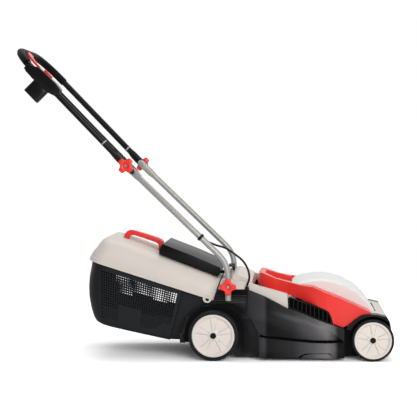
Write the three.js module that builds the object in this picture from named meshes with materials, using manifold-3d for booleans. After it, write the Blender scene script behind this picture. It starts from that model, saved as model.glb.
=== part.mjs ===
// Electric rotary lawn mower with a rear grass box.
// Millimetres. X runs forward from the rear axle, Y to the mower's left, Z up from the ground.
import * as THREE from 'three';
import { mergeVertices } from 'three/addons/utils/BufferGeometryUtils.js';
import Module from 'manifold-3d';

const wasm = await Module();
wasm.setup();

// Clearances, walls and overruns shared by the pieces
const seatGap = 0.3;
const runGap = 0.6;
const overrun = 60;
const wideReach = 240;
const thinWall = 3;
const quarterTurn = 90;
const deckWall = 4;

// Wheels and axles
const wheelBase = 530;
const wheelFaceY = 214;
const rearWheel = { radius: 85, width: 42, hubRadius: 72, capRadius: 10 };
const frontWheel = { radius: 70, width: 40, hubRadius: 62, capRadius: 9 };
const axleRadius = 6;
const hubWeb = 6;
const hubBoss = 11;
const capLength = 8;
const archGap = 15;

// Body heights and half widths
const bodyHeight = 290;
const skirtBottom = 10;
const bulgeHalf = 203;
const skirtProud = 3;
const grooveDepth = 3;
const grooveHeight = 4;
const shoulderHalf = 184;
const armHalf = 167;
const noseHalf = 158;
const hoodHalf = 188;
const ribDepth = 5;
const ribPitch = 8;
const ribHeight = 3.4;
const ribCount = 6;

// Blade tunnel, motor and cutting gear
const bladeShare = 0.53774;
const bladeX = bladeShare * wheelBase;
const tunnelRadius = 192;
const tunnelRoofShare = 0.258621;
const tunnelRoof = tunnelRoofShare * bodyHeight;
const tunnelWall = 4;
const roofThickness = 4;
const shaftRadius = 8;
const shaftHole = 14;
const motorRadius = 58;
const motorHeightShare = 0.372414;
const motorHeight = motorHeightShare * bodyHeight;
const fanRadius = 52;
const fanHeight = 10;
const fanBladeCount = 8;
const carrierRadius = 46;
const carrierHeight = 26;
const bladeSpan = 372;
const bladeChord = 48;
const bladeThickness = 3.5;
const bladeHeight = 26;
const bladeBoltRadius = 12;
const bladeBoltHeight = 7;
const capacitorRadius = 17;
const capacitorGap = 21.6;
const capacitorLength = 70;

// Motor cover, red trim and grilles
const domeHalf = 112;
const domeShoulder = 16;
const loopHoleHalf = 80;
const grilleY = 183;
const grilleThickness = 2.5;
const slatPitch = 14;
const slatWidth = 4;
const slatCount = 9;
const bumperHalf = 204;

// Flap
const flapHalf = 140;
const hingeHeightShare = 0.98966;
const hingeShare = 0.090566;
const hingeX = hingeShare * wheelBase;
const hingeZ = hingeHeightShare * bodyHeight;
const hingeRodRadius = 3;
const knuckleRadius = 7;
const knuckleWidth = 26;
const knuckleY = 90;
const hingeBlockY = 124;
const hingeBlockWidth = 18;
const hingeBlockLength = 20;
const springRadius = 6.2;
const springWire = 1.1;
const springTurns = 5;
const springPitch = 3.2;
const springLeg = 34;
const springSteps = 8;
const springSides = 5;

// Grass box, drawn along its tilted lid seam
const seamHeightShare = 0.69254;
const seamFrontShare = -0.00906;
const seamFrontX = seamFrontShare * wheelBase;
const seamFrontZ = seamHeightShare * bodyHeight;
const boxTilt = 17.9;
const boxLength = 430;
const lidHeight = 100;
const basketDepth = 193;
const lidHalf = 178;
const basketHalf = 168;
const neckHalf = 154;
const lidFlange = 12;
const lidFlangeProud = 2;
const lugSetBack = 28;
const lugY = 174;
const deckArmRear = -12.2;
const deckArmInner = 162.7;
const mouthGap = 8;
const ledgeHalf = 140;
const ledgeLipX = -31;
const dishDepth = 17;
const dishHalf = 46;
const gripHalf = 15;
const lugRadius = 15;
const lugThickness = 4;
const lugHole = { length: 20, width: 13 };

// Handle
const lowerTubeY = 200;
const lowerTubeRadius = 10;
const pivotShare = 0.096226;
const pivotX = pivotShare * wheelBase;
const pivotHeightShare = 0.860345;
const pivotZ = pivotHeightShare * bodyHeight;
const tubeTail = 47;
const tubeRise = 35;
const tubeBend = 100;
const tubeLean = 45.6;
const tubeRun = 429;
const flatThickness = 9;
const flatLength = 46;
const flatEase = 20;
const flatEnd = 17;
const flatSetIn = 0.5;
const flatSpread = 1.24;
const flatEndShares = [[0.4, 1], [0.75, 0.76], [1, 0.36]];
const upperTubeY = 211;
const upperTubeRadius = 10.5;
const upperLean = 43.5;
const upperLength = 540;
const upperTail = 36;
const upperCorner = 118;
const gripRadius = 13.6;
const gripSetBack = 62;
const gripEndSetBack = 120;
const gripFrom = upperLength - gripSetBack;
const gripTo = upperLength - gripEndSetBack;
const bowEase = 2;
const knobThickness = 15;
const knobSpan = 57;
const knobBore = 11;
const knobCore = 15;
const knobLobeWidth = 16;
const knobRecess = 6.4;
const knobLobes = 4;
const upperKnobTurn = 45;
const boltRadius = 3;
const boltTipGap = 1;
const boltHead = { radius: 7, height: 4 };

// Switch box, plug inlet, bail and lock button, placed along and across the upper handle
const switchSetBack = 209;
const switchLength = 139;
const switchFrom = upperLength - switchSetBack;
const switchTo = switchFrom + switchLength;
const switchRise = 22;
const switchDrop = 21;
const switchOuterY = 225;
const switchInnerY = 183;
const switchShares = [
  [0, 0.78], [0.04, 0.95], [0.2, 1.06], [0.75, 0.91], [1, -0.1], [1, -0.77], [0.91, -0.95], [0.66, -1],
  [0.18, -0.82], [0, -0.41],
];
const inletInset = 27;
const inletWidth = 62;
const inletFrom = switchFrom + inletInset;
const inletTo = inletFrom + inletWidth;
const inletLength = 48;
const inletDepth = 34;
const inletSocketDepth = 30;
const inletWall = 3.5;
const inletMiddleY = 205;
const inletCornerShare = 0.3;
const pinBaseHalf = 5;
const pinBaseThickness = 2;
const pinRadius = 2.4;
const pinSpacing = 16;
const pinLength = 19;
const bailPivotInset = 107;
const bailPivotAlong = switchFrom + bailPivotInset;
const bailThickness = 7;
const bailRise = 12;
const bailPivotRise = 8;
const bailHub = 9;
const bailHubWidth = 8;
const bailClearance = 4;
const bailBand = 16;
const bailSetBack = 6;
const bailEndY = 98;
const bailArc = { from: -90, to: 0 };
const bailPinRadius = 3;
const bailPinDepth = 8;
const buttonInset = 55;
const buttonFrom = switchFrom + buttonInset;
const buttonLength = 34;
const buttonWidth = 12;
const buttonOuterY = 198.5;
const buttonTravel = 4;
const buttonProud = 5;
const buttonStem = 14;

// Cable
const cableRadius = 3.5;
const cableLift = 0.5;
const cableEndGap = 1;
const cablePassRise = 11.5;
const cablePassAlong = 30;
const clipBack = 345;
const clipWidth = 9;
const clipWall = 2.4;
const grommetRadius = 7;
const grommetHeight = 12;
const cableEntryShare = 0.215094;
const cableEntryX = cableEntryShare * wheelBase;
const cableEntryY = 195.5;
const deckShoulderShare = 0.82069;
const deckShoulderZ = deckShoulderShare * bodyHeight;
const cableLoopShares = [
  [0.11, 0.06, 0], [0.3, 0.135, 0], [0.52, 0.2, 0.1], [0.73, 0.33, 0.4], [0.92, 0.48, 0.8], [1.03, 0.67, 1],
  [1.055, 0.84, 1],
];

// Facet counts
const roundSteps = 20;
const wheelSteps = 28;
const tubeSteps = 12;
const arcSteps = 6;
const bendSteps = 5;
const bowSteps = 7;
const cornerSteps = 3;
const cableSteps = 3;
const cableSides = 8;

const root = new THREE.Group();
root.name = 'lawn_mower';

// Solids from three.js geometries

function signedVolume(positions, triangles) {
  let volume = 0;
  const a = new THREE.Vector3();
  const b = new THREE.Vector3();
  const c = new THREE.Vector3();
  for (let i = 0; i < triangles.length; i += 3) {
    a.fromArray(positions, 3 * triangles[i]);
    b.fromArray(positions, 3 * triangles[i + 1]);
    c.fromArray(positions, 3 * triangles[i + 2]);
    volume += a.dot(b.cross(c)) / 6;
  }
  return volume;
}

function solidOf(geometry) {
  const bare = geometry.clone();
  bare.deleteAttribute('normal');
  bare.deleteAttribute('uv');
  const merged = mergeVertices(bare);
  const positions = Float32Array.from(merged.getAttribute('position').array);
  const triangles = Uint32Array.from(merged.getIndex().array);
  if (signedVolume(positions, triangles) < 0) {
    for (let i = 0; i < triangles.length; i += 3) {
      const first = triangles[i];
      triangles[i] = triangles[i + 1];
      triangles[i + 1] = first;
    }
  }
  return new wasm.Manifold(new wasm.Mesh({ numProp: 3, vertProperties: positions, triVerts: triangles }));
}

function geometryOf(solid) {
  const mesh = solid.getMesh();
  const geometry = new THREE.BufferGeometry();
  geometry.setAttribute('position', new THREE.BufferAttribute(Float32Array.from(mesh.vertProperties), 3));
  geometry.setIndex(new THREE.BufferAttribute(Uint32Array.from(mesh.triVerts), 1));
  geometry.computeVertexNormals();
  return geometry;
}

function joined(solids) {
  return solids.reduce((sum, next) => sum.add(next));
}

function shapeOf(points) {
  return new THREE.Shape(points.map(([u, v]) => new THREE.Vector2(u, v)));
}

function extruded(points, depth, basis, shift) {
  const geometry = new THREE.ExtrudeGeometry(shapeOf(points), { depth, bevelEnabled: false });
  geometry.applyMatrix4(basis);
  geometry.translate(shift.x, shift.y, shift.z);
  return solidOf(geometry);
}

const axisX = new THREE.Vector3(1, 0, 0);
const axisY = new THREE.Vector3(0, 1, 0);
const axisZ = new THREE.Vector3(0, 0, 1);
const sideBasis = new THREE.Matrix4().makeBasis(axisX, axisZ, axisY.clone().negate());
const planBasis = new THREE.Matrix4();

// An outline in X and Z, filled from one Y to another
function sideSlab(points, yFrom, yTo) {
  return extruded(points, yTo - yFrom, sideBasis, new THREE.Vector3(0, yTo, 0));
}

// An outline in X and Y, filled from one Z to another
function planSlab(points, zFrom, zTo) {
  return extruded(points, zTo - zFrom, planBasis, new THREE.Vector3(0, 0, zFrom));
}

// An outline in Y and Z, filled from one X to another
function block(xFrom, xTo, yFrom, yTo, zFrom, zTo) {
  const geometry = new THREE.BoxGeometry(xTo - xFrom, yTo - yFrom, zTo - zFrom);
  geometry.translate((xFrom + xTo) / 2, (yFrom + yTo) / 2, (zFrom + zTo) / 2);
  return solidOf(geometry);
}

function rodY(x, z, radius, yFrom, yTo, steps = roundSteps) {
  const geometry = new THREE.CylinderGeometry(radius, radius, yTo - yFrom, steps);
  geometry.translate(x, (yFrom + yTo) / 2, z);
  return solidOf(geometry);
}

function rodZ(x, y, radius, zFrom, zTo, steps = roundSteps) {
  const geometry = new THREE.CylinderGeometry(radius, radius, zTo - zFrom, steps);
  geometry.rotateX(Math.PI / 2);
  geometry.translate(x, y, (zFrom + zTo) / 2);
  return solidOf(geometry);
}

// A ring or disc turned about the Y axis through x, z: profile points are radius and y
function turnedY(profile, x, z, steps = wheelSteps) {
  const closed = profile.concat([profile[0]]);
  const geometry = new THREE.LatheGeometry(closed.map(([r, y]) => new THREE.Vector2(r, y)), steps);
  geometry.translate(x, 0, z);
  return solidOf(geometry);
}

// Rings of equal point counts skinned into a closed body
function skinned(rings) {
  const count = rings[0].length;
  const positions = [];
  const triangles = [];
  for (const ring of rings) {
    for (const point of ring) positions.push(point.x, point.y, point.z);
  }
  for (let row = 0; row + 1 < rings.length; row += 1) {
    for (let col = 0; col < count; col += 1) {
      const next = (col + 1) % count;
      const a = row * count + col;
      const b = row * count + next;
      triangles.push(a, b, a + count, b, b + count, a + count);
    }
  }
  const lastRow = (rings.length - 1) * count;
  for (const [start, forward] of [[0, false], [lastRow, true]]) {
    const centre = positions.length / 3;
    const ring = start === 0 ? rings[0] : rings[rings.length - 1];
    const middle = ring.reduce((sum, point) => sum.add(point), new THREE.Vector3()).divideScalar(count);
    positions.push(middle.x, middle.y, middle.z);
    for (let col = 0; col < count; col += 1) {
      const next = (col + 1) % count;
      if (forward) triangles.push(start + col, start + next, centre);
      else triangles.push(start + next, start + col, centre);
    }
  }
  const geometry = new THREE.BufferGeometry();
  geometry.setAttribute('position', new THREE.Float32BufferAttribute(positions, 3));
  geometry.setIndex(triangles);
  return solidOf(geometry);
}

// A tube along a flat path: each stop has its point, its half sizes in and out of the plane, and a shift
function flatPathTube(stops, planeNormal, steps = tubeSteps) {
  const rings = stops.map((stop, index) => {
    const before = stops[Math.max(index - 1, 0)].point;
    const after = stops[Math.min(index + 1, stops.length - 1)].point;
    const along = after.clone().sub(before).normalize();
    const across = along.clone().cross(planeNormal).normalize();
    const ring = [];
    for (let step = 0; step < steps; step += 1) {
      const angle = 2 * Math.PI * step / steps;
      const point = stop.point.clone().add(stop.shift ?? new THREE.Vector3());
      point.addScaledVector(across, stop.inPlane * Math.cos(angle));
      point.addScaledVector(planeNormal, stop.outOfPlane * Math.sin(angle));
      ring.push(point);
    }
    return ring;
  });
  return skinned(rings);
}

function roundTubeAlong(points, radius, steps, sides) {
  const path = new THREE.CatmullRomCurve3(points, false, 'centripetal');
  const outline = [];
  for (let side = 0; side < sides; side += 1) {
    const angle = 2 * Math.PI * side / sides;
    outline.push([radius * Math.cos(angle), radius * Math.sin(angle)]);
  }
  const geometry = new THREE.ExtrudeGeometry(shapeOf(outline), { steps, extrudePath: path,
    bevelEnabled: false });
  return solidOf(geometry);
}

function arcPoints(cx, cz, radius, fromDegrees, toDegrees, steps = arcSteps) {
  const points = [];
  for (let step = 0; step <= steps; step += 1) {
    const angle = THREE.MathUtils.degToRad(fromDegrees + (toDegrees - fromDegrees) * step / steps);
    points.push([cx + radius * Math.cos(angle), cz + radius * Math.sin(angle)]);
  }
  return points;
}

function mirrored(solid) {
  return solid.mirror([0, 1, 0]);
}

function placePair(name, solid, material) {
  place(`left_${name}`, solid, material);
  place(`right_${name}`, mirrored(solid), material);
}

function bothSides(solid) {
  return solid.add(mirrored(solid));
}

// Shares of the wheel base and the body height, as X and Z
function bodyPoints(shares) {
  return shares.map(([u, v]) => [u * wheelBase, v * bodyHeight]);
}

// Materials
function finish(color, roughness, metalness = 0) {
  return new THREE.MeshStandardMaterial({ color, roughness, metalness });
}

const creamPlastic = finish(0xd8cec6, 0.45);
const paleCream = finish(0xe8e3dc, 0.4);
const hubCream = finish(0xe2d8cc, 0.45);
const redPlastic = finish(0xf03a2e, 0.4);
const deckPlastic = finish(0x3c3c3e, 0.5);
const blackPlastic = finish(0x232427, 0.55);
const foamRubber = finish(0x1c1c1e, 0.9);
const tyreRubber = finish(0x2a2a2c, 0.85);
const tubeSilver = finish(0xacaaa3, 0.35, 0.6);
const tubeBlack = finish(0x1d1e22, 0.4, 0.2);
const bareSteel = finish(0x9a9b9d, 0.35, 0.9);
const motorSteel = finish(0x6c6e70, 0.5, 0.7);
const cableBlack = finish(0x141415, 0.5);
const brassMetal = finish(0xc8a24a, 0.3, 0.9);

function place(name, solid, material) {
  const mesh = new THREE.Mesh(geometryOf(solid), material);
  mesh.name = name;
  root.add(mesh);
}

// Deck housing

const deckTopShares = [
  [-0.02, 0.822], [0.221, 0.821], [0.332, 0.738], [0.423, 0.648], [0.466, 0.607],
  [0.526, 0.572], [0.63, 0.49], [0.719, 0.428], [0.823, 0.372],
];
const deckBottomShares = [[0.823, 0.034], [0.147, 0.034], [0.113, 0.12]];
const bulgeRearShares = [
  [0.285, 0.034], [0.285, 0.293], [0.281, 0.348], [0.242, 0.479], [0.211, 0.545], [0.22, 0.655], [0.221,
  0.821],
];
const shoulderShares = [
  [0.245, 0.814], [-0.023, 0.814], [-0.023, 0.703], [0.047, 0.686], [0.115, 0.655], [0.181, 0.586],
  [0.236, 0.486],
];
const seamShares = [
  [0.285, 0.286], [0.33, 0.272], [0.525, 0.231], [0.642, 0.214], [0.726, 0.21], [0.819, 0.222],
];
const noseShares = [
  [0.823, 0.034], [0.917, 0.034], [0.943, 0.138], [1.085, 0.155], [1.09, 0.345], [1.075, 0.372], [0.823,
  0.372],
];
const footShares = [[0.553, 0.034], [0.566, 0.069], [0.623, 0.088], [0.717, 0.088], [0.74, 0.069], [0.762,
  0.034]];
const chuteFrontShares = [[0.31, 0.256], [0.12, 0.84]];
const chuteFloorShares = [[-0.2, 0.334], [0.083, 0.334], [0.166, 0.048]];
const shoulderRecess = 12;

const deckTop = bodyPoints(deckTopShares);
const cosTilt = Math.cos(THREE.MathUtils.degToRad(boxTilt));
const sinTilt = Math.sin(THREE.MathUtils.degToRad(boxTilt));
const seamRearX = seamFrontX - boxLength * cosTilt;
const seamRearZ = seamFrontZ + boxLength * sinTilt;

// A place on the box: along its lid seam from the rear, and up square to that seam
function boxPoint(along, rise) {
  return [seamRearX + along * cosTilt + rise * sinTilt, seamRearZ - along * sinTilt + rise * cosTilt];
}

const mouthAlong = boxLength + mouthGap;
const mouthTopShare = 0.427;
const mouthLowShare = 0.777;
const mouthTop = boxPoint(mouthAlong, mouthTopShare * lidHeight);
const mouthLow = boxPoint(mouthAlong, -mouthLowShare * basketDepth);

function lifted(points, dx, dz) {
  return points.map(([x, z]) => [x + dx, z + dz]);
}

function lastOf(points) {
  return points[points.length - 1];
}

// The height of a line of points at a given X
function heightOn(points, x) {
  const index = Math.max(points.findIndex(([nextX]) => nextX >= x), 1);
  const [x0, z0] = points[index - 1];
  const [x1, z1] = points[index];
  return z0 + (z1 - z0) * (x - x0) / (x1 - x0);
}

const neckFloorShares = [[0.9, -0.82], [0.995, -0.775]];
const basketShares = [
  [-0.05, -0.02], [-0.046, -0.3], [-0.012, -0.6], [0.055, -0.84], [0.13, -0.96], [0.24, -1.0], [0.72, -0.94],
  ...neckFloorShares, [0.995, -0.02],
];

const rearArch = rearWheel.radius + archGap;
const deckFront = lastOf(deckTop)[0];
const roofTop = tunnelRoof + roofThickness;
const chuteFront = bodyPoints(chuteFrontShares);
const chuteFloor = bodyPoints(chuteFloorShares);
const seam = bodyPoints(seamShares);

function archPanel(half) {
  const arc = arcPoints(0, rearWheel.radius, rearArch, -20, 97, arcSteps + arcSteps);
  const [frontX] = bodyPoints(bulgeRearShares)[0];
  const top = shoulderTop();
  const [lowX] = arc[0];
  return sideSlab([[lowX, skirtBottom + archGap], ...arc, [lastOf(arc)[0], top], [frontX, top],
    [frontX, skirtBottom + archGap]], armHalf - deckWall, half);
}

function shoulderTop() {
  return bodyPoints(shoulderShares)[0][1];
}

function armPlate() {
  const sweep = arcPoints(-rearArch * tailShiftShare, rearWheel.radius - rearArch * tailDropShare,
    rearArch * tailShare, 90, 190);
  const low = bodyPoints(deckBottomShares)[2];
  return sideSlab([[archGap, sweep[0][1]], ...sweep, mouthLow, low], armHalf - deckWall, armHalf);
}

const tailShiftShare = 0.06;
const tailDropShare = 0.09;
const tailShare = 1.1;

function tailFender() {
  const outside = arcPoints(-rearArch * tailShiftShare, rearWheel.radius - rearArch * tailDropShare,
    rearArch * tailShare, 90, 190);
  const inside = arcPoints(0, rearWheel.radius, rearArch, 196, 92);
  return sideSlab([...outside, ...inside], armHalf - deckWall, shoulderHalf);
}

function louvreRibs() {
  const [frontX, top] = bodyPoints(shoulderShares)[0];
  const rearX = bodyPoints(shoulderShares)[1][0];
  const ribs = [];
  for (let rib = 0; rib < ribCount; rib += 1) {
    const high = top - rib * ribPitch - ribHeight / 2;
    const front = frontX - ribPitch - rib * ribDepth / 2;
    ribs.push(block(rearX + ribDepth, front, shoulderHalf - deckWall, shoulderHalf + ribDepth,
      high - ribHeight, high));
  }
  return joined(ribs);
}

// Ledge behind the chute floor that carries the neck of the grass box
function boxLedge() {
  const floorPoint = ([u, v]) => boxPoint(u * boxLength, v * basketDepth - seatGap);
  const [back, front] = neckFloorShares.map(floorPoint);
  const slope = (front[1] - back[1]) / (front[0] - back[0]);
  const heel = [front[0] + mouthGap, front[1] + slope * mouthGap];
  const lip = [ledgeLipX, chuteFloor[0][1]];
  return sideSlab([[lip[0] + deckWall, lip[1]], lip, heel, back, [back[0], back[1] - deckWall],
    [heel[0] + deckWall, heel[1] - deckWall], [lip[0] + deckWall, lip[1] - deckWall]], -ledgeHalf, ledgeHalf);
}

function deckHousing() {
  const core = sideSlab([mouthLow, bodyPoints(deckBottomShares)[2], bodyPoints(deckBottomShares)[1],
    bodyPoints(deckBottomShares)[0], ...deckTop.slice(1).reverse(), mouthTop], -armHalf, armHalf);
  const bulgeOutline = [...bodyPoints(bulgeRearShares), ...deckTop.slice(2), bodyPoints(deckBottomShares)[0]];
  const bulge = sideSlab(bulgeOutline, armHalf - tunnelWall, bulgeHalf);
  const inner = lifted(bodyPoints(bulgeRearShares), deckWall, deckWall);
  const bulgeHollow = sideSlab([[inner[0][0], roofTop], ...inner.slice(2), [lastOf(inner)[0], bodyHeight],
    [deckFront - deckWall, bodyHeight], [deckFront - deckWall, roofTop]], armHalf - overrun,
    bulgeHalf - deckWall);
  const topBand = [...deckTop.slice(1), ...lifted(deckTop.slice(1), 0, -thinWall).reverse()];
  const topLedge = sideSlab(topBand, shoulderHalf - shoulderRecess, bulgeHalf);
  const shoulder = sideSlab(bodyPoints(shoulderShares), armHalf - tunnelWall, shoulderHalf);
  const skirtOutline = [...lifted(seam, 0, -grooveHeight / 2), [lastOf(seam)[0], skirtBottom + grooveHeight],
    [lastOf(seam)[0] - archGap, skirtBottom], [seam[0][0] + thinWall, skirtBottom]];
  const skirt = sideSlab(skirtOutline, bulgeHalf - tunnelWall, bulgeHalf + skirtProud);
  const foot = sideSlab(bodyPoints(footShares), bulgeHalf - tunnelWall, bulgeHalf + skirtProud + skirtProud);
  const grooveTop = lifted(seam, 0, grooveHeight / 2);
  const grooveFoot = lifted(seam, 0, -grooveHeight / 2).reverse();
  const groove = sideSlab([...grooveTop, ...grooveFoot], bulgeHalf - grooveDepth, bulgeHalf + overrun);
  const nose = sideSlab(bodyPoints(noseShares), -noseHalf, noseHalf);

  const chute = sideSlab([[chuteFront[0][0] + overrun, 0], [chuteFront[0][0] + overrun, tunnelRoof - seatGap],
    [chuteFront[0][0], tunnelRoof - seatGap], chuteFront[1], [chuteFloor[0][0], chuteFront[1][1]],
    ...chuteFloor, [chuteFloor[2][0], 0]], -armHalf + deckWall, armHalf - deckWall);
  const floorUnder = lifted(chuteFloor, -deckWall, -deckWall);
  const axleBay = sideSlab([[floorUnder[0][0], 0], ...floorUnder, [floorUnder[2][0], 0]],
    -armHalf + deckWall, armHalf - deckWall);
  const motorBay = sideSlab([[chuteFront[0][0] + deckWall, roofTop],
    [chuteFront[1][0] + deckWall, chuteFront[1][1]], [deckFront - deckWall, bodyHeight], [deckFront - deckWall, roofTop]], -armHalf + deckWall,
    armHalf - deckWall);
  const underX = bodyPoints(bulgeRearShares)[0][0] + deckWall;
  const lowBay = planSlab([[underX, -bulgeHalf + deckWall], [deckFront - deckWall, -bulgeHalf + deckWall],
    [deckFront - deckWall, bulgeHalf - deckWall], [underX, bulgeHalf - deckWall]], -overrun, tunnelRoof);
  const ringWall = rodZ(bladeX, 0, tunnelRadius + tunnelWall, skirtBottom + thinWall, tunnelRoof + thinWall,
    wheelSteps);
  const noseBay = block(lastOf(deckTop)[0] - deckWall - deckWall, bladeX + tunnelRadius + tunnelWall,
    -noseHalf + deckWall, noseHalf - deckWall, roofTop, bodyPoints(noseShares)[5][1] - deckWall);
  const axleFrontX = bodyPoints(noseShares)[2][0];
  const noseUnder = block(axleFrontX, bodyPoints(noseShares)[3][0] - deckWall, -noseHalf + deckWall,
    noseHalf - deckWall, 0, bodyPoints(noseShares)[5][1] - deckWall);
  const tunnel = rodZ(bladeX, 0, tunnelRadius, -overrun, tunnelRoof, wheelSteps);

  const sides = joined([bulge, shoulder, archPanel(armHalf + skirtProud + thinWall), armPlate(),
    tailFender(), skirt, foot]);
  let deck = core.add(bothSides(sides)).add(nose);
  deck = deck.subtract(lowBay.subtract(ringWall));
  deck = deck.subtract(bothSides(bulgeHollow));
  deck = deck.add(bothSides(topLedge.add(louvreRibs())));
  deck = deck.subtract(bothSides(groove));
  deck = deck.subtract(motorBay).subtract(chute).subtract(axleBay);
  deck = deck.subtract(noseBay).subtract(noseUnder);
  deck = deck.subtract(tunnel);
  deck = deck.subtract(rodZ(bladeX, 0, shaftHole, 0, bodyHeight));
  deck = deck.subtract(rodY(0, rearWheel.radius, axleRadius + seatGap, -wideReach, wideReach));
  deck = deck.subtract(rodY(wheelBase, frontWheel.radius, axleRadius + seatGap, -wideReach, wideReach));
  return deck.add(boxLedge());
}

place('deck_housing', deckHousing(), deckPlastic);

// Rear hood with its hand recess

const hoodRimShares = [
  [0.032, 0.8257], [0.051, 0.931], [0.134, 0.924], [0.23, 0.89], [0.343, 0.831], [0.468, 0.766], [0.472,
  0.6055],
];
const hoodCrownShares = [
  [0.119, 0.86], [0.123, 0.965], [0.151, 0.977], [0.213, 0.934], [0.243, 0.903], [0.252, 0.82],
];
const recessFloorShares = [
  [0.243, 0.92], [0.252, 0.766], [0.264, 0.745], [0.404, 0.703], [0.56, 0.69],
];
const hoodCrownHalf = 150;
const recessHalf = 163;
const handGap = 22;

function hoodBelow() {
  const top = deckTop.slice(1, 6);
  return lifted(top, 0, seatGap);
}

function rearHood() {
  const rim = bodyPoints(hoodRimShares);
  const outer = sideSlab([...rim, ...hoodBelow().slice(0, 4).reverse(), rim[0]].slice(0, -1), -hoodHalf,
    hoodHalf);
  const crown = sideSlab(bodyPoints(hoodCrownShares), -hoodCrownHalf, hoodCrownHalf);
  const floor = bodyPoints(recessFloorShares);
  const recess = sideSlab([floor[0], ...floor.slice(1), [lastOf(floor)[0], bodyHeight + overrun],
    [floor[0][0], bodyHeight + overrun]], -recessHalf, recessHalf);
  const [frontX, frontTop] = lastOf(floor);
  const rimEndX = lastOf(rim)[0];
  const tongue = sideSlab([[rimEndX - deckWall, frontTop], [frontX, frontTop], [frontX, frontTop - thinWall],
    [rimEndX - deckWall, frontTop - thinWall]], -domeHalf, domeHalf);
  const inner = lifted(rim, 0, -thinWall);
  const rearBay = sideSlab([[rim[0][0] - overrun, 0], [rim[0][0] - overrun, inner[1][1]], [inner[1][0],
    inner[1][1]],
    inner[2], [floor[0][0] - thinWall, inner[3][1]], [floor[0][0] - thinWall, 0]], -hoodCrownHalf,
    hoodCrownHalf);
  const crownBay = sideSlab(lifted(bodyPoints(hoodCrownShares), 0, -thinWall).map(
    ([x, z], index) => [x + (index < 2 ? thinWall : -thinWall), z]), -hoodCrownHalf + thinWall,
    hoodCrownHalf - thinWall);
  const sideBay = sideSlab([[inner[1][0] + thinWall, 0], [inner[1][0] + thinWall, inner[1][1]], inner[2],
    inner[3],
    inner[4], [inner[5][0] - thinWall, inner[5][1]], [inner[5][0] - thinWall, 0]], recessHalf + thinWall,
    hoodHalf - thinWall);
  const underFloor = lifted(floor.slice(1), 0, -thinWall);
  const frontBay = sideSlab([[floor[0][0] - deckWall, 0], [floor[0][0] - deckWall, underFloor[0][1]],
    ...underFloor,
    [lastOf(underFloor)[0] + overrun, 0]], -recessHalf + thinWall, recessHalf - thinWall);
  let hood = outer.add(crown).subtract(recess).add(tongue);
  hood = hood.subtract(rearBay).subtract(crownBay).subtract(bothSides(sideBay)).subtract(frontBay);
  return hood.subtract(rodY(pivotX, pivotZ, boltRadius + seatGap, -wideReach, wideReach));
}

place('rear_hood', rearHood(), creamPlastic);

// Motor cover

const domeTopShares = [
  [0.496, 0.845], [0.519, 0.876], [0.559, 0.903], [0.636, 0.928], [0.698, 0.932],
  [0.762, 0.912], [0.832, 0.872], [0.909, 0.787], [0.972, 0.676], [1.03, 0.52],
];
const domeRearFoot = 0.703;
const domeCrown = 7;
const domeSoftEdge = 6;
const domeShoulderShare = 0.45;

function domeShell(inset) {
  const stops = bodyPoints(domeTopShares);
  const rings = stops.map(([x, top], index) => {
    const first = index === 0;
    const last = index === stops.length - 1;
    const at = x + (first ? inset : 0) - (last ? inset : 0);
    const half = domeHalf - inset;
    const high = top - inset;
    const low = first || last || inset === 0 ? roofTop + seatGap : 0;
    const profile = [[half, inset > 0 ? 0 : low], [half, high - domeSoftEdge - domeCrown],
      [half - domeSoftEdge, high - domeCrown], [half - domeShoulder, high - domeCrown * domeShoulderShare],
      [0, high]];
    const right = profile.map(([y, z]) => new THREE.Vector3(at, -y, z));
    const left = profile.slice(0, -1).reverse().map(([y, z]) => new THREE.Vector3(at, y, z));
    return [...right, ...left];
  });
  return skinned(rings);
}

function motorCover() {
  const outer = domeShell(0);
  const inner = domeShell(thinWall);
  const rearFootX = lastOf(bodyPoints(recessFloorShares))[0];
  const rearCut = block(bladeX - domeHalf, rearFootX + runGap, -domeHalf - overrun, domeHalf + overrun,
    0, bodyPoints(recessFloorShares)[4][1] + seatGap);
  const noseTop = Math.max(bodyPoints(noseShares)[5][1], heightOn(deckTop, deckFront - deckWall));
  const noseCut = block(deckFront - deckWall - deckWall - runGap, wheelBase + overrun, -domeHalf - overrun,
    domeHalf + overrun, 0, noseTop + seatGap);
  return outer.subtract(inner).subtract(rearCut).subtract(noseCut);
}

place('motor_cover', motorCover(), paleCream);

// Red carry handle with its side trim

const trimTopShares = [
  [0.272, 0.9], [0.281, 0.948], [0.298, 0.979], [0.323, 0.968], [0.394, 0.917], [0.474, 0.879], [0.547,
  0.852],
  [0.632, 0.838], [0.704, 0.783], [0.781, 0.728], [0.892, 0.638], [0.994, 0.549],
];
const trimNoseShare = 0.985;
const trimLowShares = [
  [0.817, 0.381], [0.753, 0.425],
  [0.743, 0.503], [0.728, 0.559], [0.706, 0.586], [0.632, 0.641], [0.526, 0.707], [0.404, 0.769], [0.323,
  0.814],
  [0.277, 0.838],
];
const trimPlanShares = [
  [0.272, 0.12], [0.277, 0.3], [0.292, 0.44], [0.317, 0.52], [0.349, 0.56], [0.406, 0.58], [0.472, 0.63],
  [0.547, 0.75], [0.604, 0.875], [0.66, 0.963], [0.717, 0.995], [0.83, 1], [0.99, 1],
];
const bumperShares = [
  [0.831, 0.36], [0.844, 0.405], [0.886, 0.4695], [0.93, 0.5255], [0.966, 0.538], [1.025, 0.534], [1.089,
  0.507],
  [1.104, 0.458], [1.115, 0.395], [1.125, 0.28], [1.115, 0.16], [1.099, 0.12],
];
const trimHalf = 187;
const loopRear = 0.326;
const loopRadiusShare = 0.06;

// The trim's lower edge: over the fender first, then along the grille and the hand grip
function trimLow() {
  const fender = lifted(bodyPoints(bumperShares).slice(1, 6), 0, seatGap);
  const noseX = trimNoseShare * wheelBase;
  const over = fender.filter(([x]) => x < noseX).reverse();
  return [[noseX, heightOn(fender, noseX)], ...over, ...bodyPoints(trimLowShares)];
}

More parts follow.
